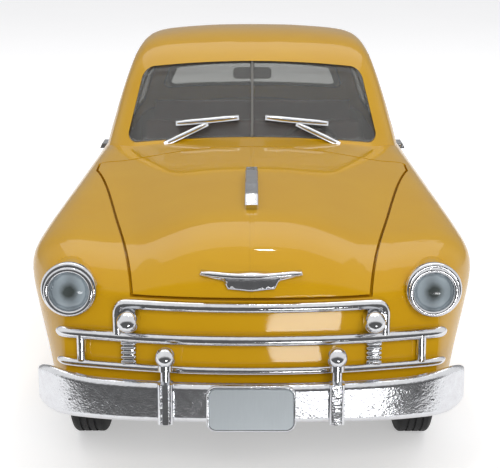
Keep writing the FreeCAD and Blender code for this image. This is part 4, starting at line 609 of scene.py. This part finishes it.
# %% [markdown]
# ## Round grille bars
# The bars are round rods bent to the nose. A rod is a curve with a round bevel: its points lie
# as far in front of the paint as the construction's bars do, and each end narrows to a tip.

# %% Rods
PROUD = 1.9 * MM                   # a bar's face stands this far off the paint


def nose_at(x, z, node="body_shell"):
    """The place on the paint of the nose, straight behind a point in millimetres."""
    hit, spot, normal, face = nodes[node].ray_cast(Vector((x * MM, -0.3, z * MM)),
                                                   Vector((0, 1, 0)))
    return spot.y


def rod(name, path, radius, tips=(1.0, 1.0), proud=PROUD, node="body_shell", body="car"):
    """A round rod through (x, z) points in millimetres, along the paint."""
    curve = bpy.data.curves.new(name, "CURVE")
    curve.dimensions = "3D"
    curve.bevel_depth = radius * MM
    curve.bevel_resolution = 6
    curve.resolution_u = 8
    curve.use_fill_caps = True
    spline = curve.splines.new("NURBS")
    spline.points.add(len(path) - 1)
    for point, (x, z) in zip(spline.points, path):
        point.co = (x * MM, nose_at(x, z, node) - proud + radius * MM, z * MM, 1.0)
    spline.points[0].radius, spline.points[-1].radius = tips
    spline.order_u = 3
    spline.use_endpoint_u = True
    curve.materials.append(plating)
    made = bpy.data.objects.new(name, curve)
    bpy.context.scene.collection.objects.link(made)
    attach(made, body)
    print(name, "points", len(path))
    return made


for name, height, radius in (("middle", 27.0, 1.0), ("lower", 21.8, 0.72)):
    reach = [-33.4, -33.0, -31.0, -26.0, -20.0, -13.0, -6.5]
    path = [(x, height - 0.4 * (x / 33.6) ** 2) for x in reach + [0.0] + [-x for x in
                                                                         reversed(reach)]]
    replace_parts(rod(f"grille_{name}_rod", path, radius, tips=(0.3, 0.3)),
                f"grille_{name}_bar")
side = [(-22.5, 27.4), (-22.5, 29.5), (-22.5, 31.4), (-22.0, 32.5), (-20.6, 32.7),
        (-14.0, 32.7), (-7.0, 32.7)]
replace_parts(rod("grille_upper_rod", side + [(0.0, 32.7)] + [(-x, z) for x, z in
                                                          reversed(side)], 0.9),
            "grille_upper_bar")

# The badge's wing is a rod too, thick in the middle and thin at its tips.
wing = [(-8.3, 38.4), (-7.4, 38.35), (-5.0, 38.15), (-2.5, 38.0)]
rod("hood_badge_wing", wing + [(0.0, 37.95)] + [(-x, z) for x, z in reversed(wing)], 0.5,
    tips=(0.4, 0.4), proud=0.75 * MM, node="hood_badge", body="hood")

# %% [markdown]
# Two pairs of posts join the lower rods. The outer ones are plain rods, and the inner ones are
# five rounded ribs on a core: flattened cubes with bevelled edges.

# %% Posts
for side, way in (("left", 1), ("right", -1)):
    rod("grille_outer_post_" + side, [(way * 29.0, z) for z in (22.0, 23.5, 25.0, 26.6)], 0.8)
    build = bmesh.new()
    middle_y = nose_at(way * 20.7, 24.2)
    for number in range(6):
        size = (2.6, 1.5, 0.56) if number else (1.9, 1.2, 4.2)
        height = 24.25 if number == 0 else 22.65 + (number - 1) * 0.8
        cube = bmesh.ops.create_cube(build, size=1.0)["verts"]
        bmesh.ops.scale(build, vec=[v * MM for v in size], verts=cube)
        bmesh.ops.translate(build, verts=cube, vec=(way * 20.7 * MM, middle_y - 0.9 * MM,
                                                    height * MM))
    bmesh.ops.bevel(build, geom=build.edges[:], offset=0.24 * MM, affect="EDGES", segments=3,
                    profile=0.5, material=-1)
    place(build, "grille_ribbed_post_" + side, "car", plating, "plated_trim")

# %% [markdown]
# A round rim closes each headlamp, with a thicker ring behind it that stands up like a brow.
# Each is a small circle spun round the lamp's middle.

# %% Lamp rims
def lamp_ring(name, way, radius, tube, back, up):
    """A round rim about a headlamp's middle; sizes in millimetres."""
    build = bmesh.new()
    ring = bmesh.ops.create_circle(build, segments=12, radius=tube * MM)["verts"]
    bmesh.ops.translate(build, verts=ring, vec=(radius * MM, 0, 0))
    edges = list({edge for vert in ring for edge in vert.link_edges})
    bmesh.ops.spin(build, geom=ring + edges, cent=(0, 0, 0), axis=(0, 1, 0), angle=math.tau,
                   steps=48, use_merge=True)
    bmesh.ops.remove_doubles(build, verts=build.verts, dist=1e-6)
    bmesh.ops.recalc_face_normals(build, faces=build.faces)
    bmesh.ops.rotate(build, verts=build.verts, cent=(0, 0, 0),
                     matrix=Matrix.Rotation(math.pi, 3, "Y"))
    bmesh.ops.translate(build, verts=build.verts,
                        vec=(way * LENS_X, lens_box[0][1] + back * MM, LENS_Z + up * MM))
    return place(build, name, "car", plating, "plated_trim")


for side, way in (("left", 1), ("right", -1)):
    lamp_ring("headlight_rim_" + side, way, 3.82, 0.5, 0.3, 0.0)
    lamp_ring("headlight_brow_" + side, way, 4.2, 0.55, 0.65, 0.28)

# %% [markdown]
# ## Wipers
# Each wiper is a blade and an arm, both plated rods with a lumpy skin that lie on the flat
# strips of the construction.

# %% Wiper rods
for side, way in (("left", 1), ("right", -1)):
    for part, start, end, radius in (("blade", (15.9, 52.24), (3.2, 53.56), 0.62),
                                     ("arm", (17.9, 48.6), (9.9, 52.18), 0.55)):
        path = []
        for step in range(7):
            share = step / 6
            path.append((way * (start[0] + share * (end[0] - start[0])),
                         start[1] + share * (end[1] - start[1])))
        rod(f"wiper_{part}_{side}", path, radius, tips=(0.7, 0.7), proud=0.35 * MM,
            node="wiper_" + side).data.materials[0] = mottled

# %% [markdown]
# ## The studio
# The car stands on a sheet of pale card. The room is white where the camera looks and behind the
# car, and dark in front of it, below and behind the camera, so the plating has something dark to
# mirror. The card ends just before the bumper for the same reason. As a light the room is much
# dimmer, so that a few soft lamps shape the car.

# %% Card and room
CARD_AHEAD = 22 * MM


def stage_floor():
    mesh = bpy.data.meshes.new("card")
    build = bmesh.new()
    bmesh.ops.create_grid(build, x_segments=1, y_segments=1, size=2.0)
    bmesh.ops.translate(build, verts=build.verts, vec=(0, front_y - CARD_AHEAD + 2.0, 0))
    build.to_mesh(mesh)
    build.free()
    card = bpy.data.objects.new("card", mesh)
    bpy.context.scene.collection.objects.link(card)
    made, tree, shader, place = finish("pale_card", Roughness=0.9)
    fibres = add(tree, "ShaderNodeTexNoise", {"Vector": place, "Scale": grain(60.0)})
    add(tree, "ShaderNodeMix", {"Factor": fibres.outputs["Fac"], "A": colour("#F1F1F0"),
                                "B": colour("#F6F6F5")},
        {"Result": shader.inputs["Base Color"]}, data_type="RGBA")
    path = add(tree, "ShaderNodeLightPath")
    mirrored = add(tree, "ShaderNodeMath", {0: path.outputs["Is Glossy Ray"],
                                            1: path.outputs["Is Transmission Ray"]},
                   operation="MAXIMUM")
    seen = add(tree, "ShaderNodeMath", {0: path.outputs["Is Camera Ray"],
                                        1: mirrored.outputs["Value"]}, operation="MAXIMUM")
    add(tree, "ShaderNodeMath", {0: seen.outputs["Value"], 1: 0.42},
        {"Value": shader.inputs["Emission Strength"]}, operation="MULTIPLY")
    shader.inputs["Emission Color"].default_value = (1, 1, 1, 1)
    mesh.materials.append(made)


ROOM_DARK = 0.13        # brightness of the dark side, in front of the car
ROOM_BACK = 0.36        # and of the wall far behind it


def studio_world():
    world = bpy.data.worlds.new("studio")
    bpy.context.scene.world = world
    world.use_nodes = True
    tree = world.node_tree
    tree.nodes.clear()
    way = add(tree, "ShaderNodeTexCoord")
    parts = add(tree, "ShaderNodeSeparateXYZ", {"Vector": way.outputs["Generated"]})
    lift = add(tree, "ShaderNodeMath", {0: parts.outputs["Y"], 1: parts.outputs["Z"]},
               operation="ADD")
    ahead = add(tree, "ShaderNodeMapRange", {"Value": lift.outputs["Value"],
                                             "From Min": -0.65, "From Max": -0.15,
                                             "To Min": ROOM_DARK, "To Max": 1.0},
                interpolation_type="SMOOTHSTEP")
    behind = add(tree, "ShaderNodeMapRange", {"Value": parts.outputs["Y"], "From Min": 0.45,
                                              "From Max": 0.8, "To Min": 1.0,
                                              "To Max": ROOM_BACK},
                 interpolation_type="SMOOTHSTEP")
    room = add(tree, "ShaderNodeMath", {0: ahead.outputs["Result"],
                                        1: behind.outputs["Result"]}, operation="MINIMUM")
    path = add(tree, "ShaderNodeLightPath")
    straight = add(tree, "ShaderNodeMath", {0: path.outputs["Is Camera Ray"],
                                            1: path.outputs["Is Transmission Ray"]},
                   operation="MAXIMUM")
    mirrored = add(tree, "ShaderNodeMix", {"Factor": path.outputs["Is Glossy Ray"],
                                           "A": colour("#B5B5B8"),
                                           "B": room.outputs["Value"]}, data_type="RGBA")
    shown = add(tree, "ShaderNodeMix", {"Factor": straight.outputs["Value"],
                                        "A": mirrored.outputs["Result"],
                                        "B": (1, 1, 1, 1)}, data_type="RGBA")
    light = add(tree, "ShaderNodeBackground", {"Color": shown.outputs["Result"]})
    add(tree, "ShaderNodeOutputWorld", {"Surface": light.outputs["Background"]})


def lamp(name, place, target, size, power, shape="RECTANGLE", mirrored=True):
    """A soft lamp at a place in metres, turned to a target."""
    light = bpy.data.lights.new(name, "AREA")
    light.shape = shape
    light.size, light.size_y = size
    light.energy = power
    made = bpy.data.objects.new(name, light)
    made.location = place
    made.rotation_euler = (Vector(target) - Vector(place)).to_track_quat("-Z", "Y").to_euler()
    made.visible_glossy = mirrored
    bpy.context.scene.collection.objects.link(made)


stage_floor()
studio_world()
lamp("top", (0.0, 0.22, 0.60), (0, 0, 0), (0.8, 0.5), 1.45)
lamp("front", (0.1, -0.75, 0.35), (0, -0.05, 0.03), (0.3, 0.3), 2.2, mirrored=False)
lamp("spark_1", (0.0075, front_y + 0.0130, 0.25), (0, front_y, 0), (0.007, 0.007), 0.0115)
lamp("spark_2", (0.0141, front_y + 0.0123, 0.25), (0, front_y, 0), (0.007, 0.007), 0.0115)
lamp("low_window", (0.125, -0.60, -0.14), (0, front_y, 0.03), (0.19, 0.05), 0.30, "ELLIPSE")

view = bpy.context.scene.view_settings
view.view_transform = "Standard"
